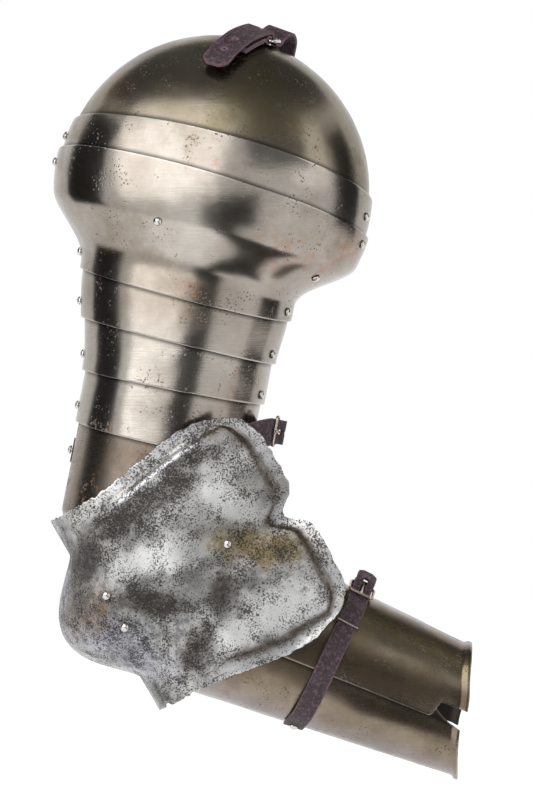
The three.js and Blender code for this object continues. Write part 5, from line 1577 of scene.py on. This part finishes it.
leather_foot = edge_height(FOOT_EDGES[3], 0) + RIVET_RISE - LEATHER_TAIL
inner_leather("inner_rear", lambda height: REAR_TURN,
              edge_height(FOOT_EDGES[0], 0) + RIVET_RISE + LEATHER_TAIL, leather_foot, "rear_leather")
inner_leather("inner_front", lambda height: mix(*FRONT_TURNS, smooth(-height, *FRONT_SHIFT)),
              LEATHER_TAIL - FRONT_SHIFT[0], leather_foot, "front_leather")

# %% [markdown]
# ## Hinges of the forearm
# The front half swings on two hinges on the inner side. A hinge is two leaves of sheet, each bent round
# a pin into knuckles that mesh like fingers. The leaf is a box with its corners rounded, and the
# knuckles are turned rings joined to it.

# %% Hinge leaves and pins
HINGE_LENGTH = 22
KNUCKLE = 2.4
LEAF_GAUGE = 1
PIN = 1.1
LEAF_WIDTH = 11
LEAF_CORNER = 3.2
HINGE_LIFT = 0.6
UPPER_HINGE_X = 160
LOWER_HINGE_X = 214


def hinge_frame(x):
    seam = forearm_point(HINGE_TURN, x, 0)
    following = forearm_point(HINGE_TURN, x + HINGE_LENGTH, 0)
    turned = Vector((1, 0, 0)).rotation_difference(following - seam).to_matrix().to_4x4()
    return Matrix.Translation((x, seam.y + KNUCKLE + HINGE_LIFT, seam.z)) @ turned


def rod(name, placed, radius, x0, x1):
    piece = fresh(name, bpy.ops.mesh.primitive_cylinder_add,
                  vertices=24, radius=radius * MM, depth=(x1 - x0) * MM)
    turned = Matrix.Rotation(QUARTER, 4, "Y")
    piece.data.transform(Matrix.Scale(MM, 4) @ placed @ Matrix.Translation(((x0 + x1) / 2, 0, 0))
                         @ turned @ Matrix.Scale(1 / MM, 4))
    return piece


def leaf_piece(name, placed, side, spans, node):
    leaf = fresh(name, bpy.ops.mesh.primitive_cube_add, size=1)
    reach = KNUCKLE + LEAF_WIDTH / 2
    leaf.data.transform(Matrix.Translation((0, LEAF_GAUGE / 2 - KNUCKLE, side * reach))
                        @ Matrix.Diagonal((HINGE_LENGTH, LEAF_GAUGE, LEAF_WIDTH, 1)))
    far = KNUCKLE + LEAF_WIDTH - 0.1

    def outer_corner(edge):
        ends = [leaf.data.vertices[index].co for index in edge.vertices]
        return all(side * end.z > far for end in ends) and abs(ends[0].x - ends[1].x) < 0.1
    edit_chosen(leaf, "EDGE", outer_corner, lambda: bpy.ops.mesh.bevel(offset=LEAF_CORNER, segments=5))
    leaf.data.transform(Matrix.Scale(MM, 4) @ placed)
    for x0, x1 in spans:
        combine(leaf, rod("knuckle", placed, KNUCKLE, x0, x1), "UNION")
        web = fresh("web", bpy.ops.mesh.primitive_cube_add, size=1)
        web.data.transform(
            Matrix.Scale(MM, 4) @ placed
            @ Matrix.Translation(((x0 + x1) / 2, LEAF_GAUGE / 2 - KNUCKLE, side * (KNUCKLE / 2 + 0.3)))
            @ Matrix.Diagonal((x1 - x0, LEAF_GAUGE, KNUCKLE + 0.6, 1)))
        combine(leaf, web, "UNION")
    combine(leaf, rod("bore", placed, PIN + 0.2, -HINGE_LENGTH, HINGE_LENGTH), "DIFFERENCE")
    break_edges(leaf, 0.18, 1)
    smooth_shade(leaf)
    fit(leaf, node, forearm_steel)


third = HINGE_LENGTH / 6
for name, x in (("upper_hinge", UPPER_HINGE_X), ("lower_hinge", LOWER_HINGE_X)):
    placed = forearm_frame @ hinge_frame(x)
    leaf_piece("leaf_" + name + "_door", placed, 1,
               [(-HINGE_LENGTH / 2, -third - PLAY), (third + PLAY, HINGE_LENGTH / 2)], name + "_door_leaf")
    leaf_piece("leaf_" + name + "_rear", placed, -1, [(-third + PLAY, third - PLAY)], name + "_rear_leaf")
    pin = rod("pin_" + name, placed, PIN, -HINGE_LENGTH / 2 - PLAY, HINGE_LENGTH / 2 + PLAY)
    break_edges(pin, 0.3)
    smooth_shade(pin)
    fit(pin, name + "_pin", rivet_steel)

# %% [markdown]
# ## Camera and light
# The photograph was taken level with the elbow, square to the arm, through a long lens. Polished metal
# shows what stands round it, so the light is planned as a studio does for silver: a white room, soft
# boxes for the bright bands, and dark cards beside the camera for the bands between them.

# %% Camera
PICTURE_HEIGHT = 560
PICTURE_CENTRE = Vector((-10.4468, -13.1896, -259.5838))
CAMERA_DISTANCE = 3970
SENSOR = 24
camera_data = bpy.data.cameras.new("Camera")
camera_data.sensor_fit = "VERTICAL"
camera_data.sensor_height = SENSOR
camera_data.lens = SENSOR * CAMERA_DISTANCE / PICTURE_HEIGHT
camera_data.clip_end = 50
camera = bpy.data.objects.new("Camera", camera_data)
camera.location = (PICTURE_CENTRE - Vector((0, CAMERA_DISTANCE, 0))) * MM
camera.rotation_euler = (QUARTER, 0, 0)
bpy.context.scene.collection.objects.link(camera)
bpy.context.scene.camera = camera
bpy.context.scene.view_settings.view_transform = "Standard"

# %% World: white where it is seen, a plain grey where it lights
def seen_share(tree):
    path = put(tree, "ShaderNodeLightPath")
    seen = sums(tree, "MAXIMUM", path.outputs["Is Camera Ray"], path.outputs["Is Glossy Ray"])
    return sums(tree, "MAXIMUM", seen, path.outputs["Is Transmission Ray"])


world = bpy.data.worlds.new("Studio")
bpy.context.scene.world = world
world.use_nodes = True
tree = world.node_tree
tree.nodes.clear()
shade = blended(tree, seen_share(tree), (0.55, 0.55, 0.56, 1), (1, 1, 1, 1))
ground = put(tree, "ShaderNodeBackground", {"Color": shade, "Strength": 1.0})
put(tree, "ShaderNodeOutputWorld", {"Surface": ground.outputs[0]})

# %% Floor
FLOOR_HEIGHT = -572.6
FLOOR_GLOW = 0.6
floor = fresh("floor", bpy.ops.mesh.primitive_plane_add, size=8)
floor.location.z = FLOOR_HEIGHT * MM
paper, tree, surface = blank_material("White paper")
feed(tree, surface, {
    "Base Color": (0.9, 0.9, 0.9, 1), "Roughness": 0.8, "Specular IOR Level": 0.0,
    "Emission Color": (1, 1, 1, 1),
    "Emission Strength": sums(tree, "MULTIPLY", seen_share(tree), FLOOR_GLOW)})
floor.data.materials.append(paper)


# %% [markdown]
# The cards are seen only in the polish: the camera, the shadows and the soft light pass them by. The
# middle card stands on another that lies on the floor, so its dark band goes on down the main plate
# where the metal turns under.

# %% Lamps and cards, placed by azimuth and height round the middle of the arm
def stand_at(azimuth, elevation, distance):
    turn = degrees(azimuth)
    rise = degrees(elevation)
    offset = Vector((
        math.sin(turn) * math.cos(rise), -math.cos(turn) * math.cos(rise), math.sin(rise)))
    return PICTURE_CENTRE * MM + offset * distance


def aim(thing):
    line = PICTURE_CENTRE * MM - thing.location
    thing.rotation_euler = line.to_track_quat("-Z", "Y").to_euler()


def soft_box(name, azimuth, elevation, distance, width, height, power):
    lamp = bpy.data.lights.new(name, "AREA")
    lamp.shape = "RECTANGLE"
    lamp.size = width
    lamp.size_y = height
    lamp.energy = power
    box = bpy.data.objects.new(name, lamp)
    box.location = stand_at(azimuth, elevation, distance)
    box.visible_camera = False
    bpy.context.scene.collection.objects.link(box)
    aim(box)


CARD_LIFT = 4


def dark_card(name, azimuth, elevation, distance, width, height, tone, lies=False):
    card = fresh(name, bpy.ops.mesh.primitive_plane_add, size=1)
    card.location = stand_at(azimuth, elevation, distance)
    card.scale = (width, height, 1)
    if lies:
        card.location.z = (FLOOR_HEIGHT + CARD_LIFT) * MM
        card.rotation_euler = (0, 0, degrees(-azimuth))
    else:
        aim(card)
    paint, tree, surface = blank_material(name)
    feed(tree, surface, {"Base Color": (tone, tone, tone, 1), "Roughness": 1.0})
    card.data.materials.append(paint)
    card.visible_camera = False
    card.visible_shadow = False
    card.visible_diffuse = False


soft_box("key_box", -30, 30, 1.0, 1.1, 1.0, 6.5)
soft_box("fill_box", 60, 25, 2.2, 1.2, 1.6, 4)
dark_card("left_card", -92, 10, 1.3, 1.0, 1.5, 0.02)
dark_card("middle_card", 7, -9, 1.2, 0.7, 0.62, 0.035)
dark_card("middle_floor_card", 9, 0, 0.66, 0.26, 1.0, 0.06, lies=True)
dark_card("right_card", 98, 0, 1.4, 0.9, 1.8, 0.03)
dark_card("upper_card", 38, 32, 1.5, 1.0, 0.8, 0.3)
dark_card("ceiling_card", 0, 90, 1.25, 2.6, 2.0, 0.2)
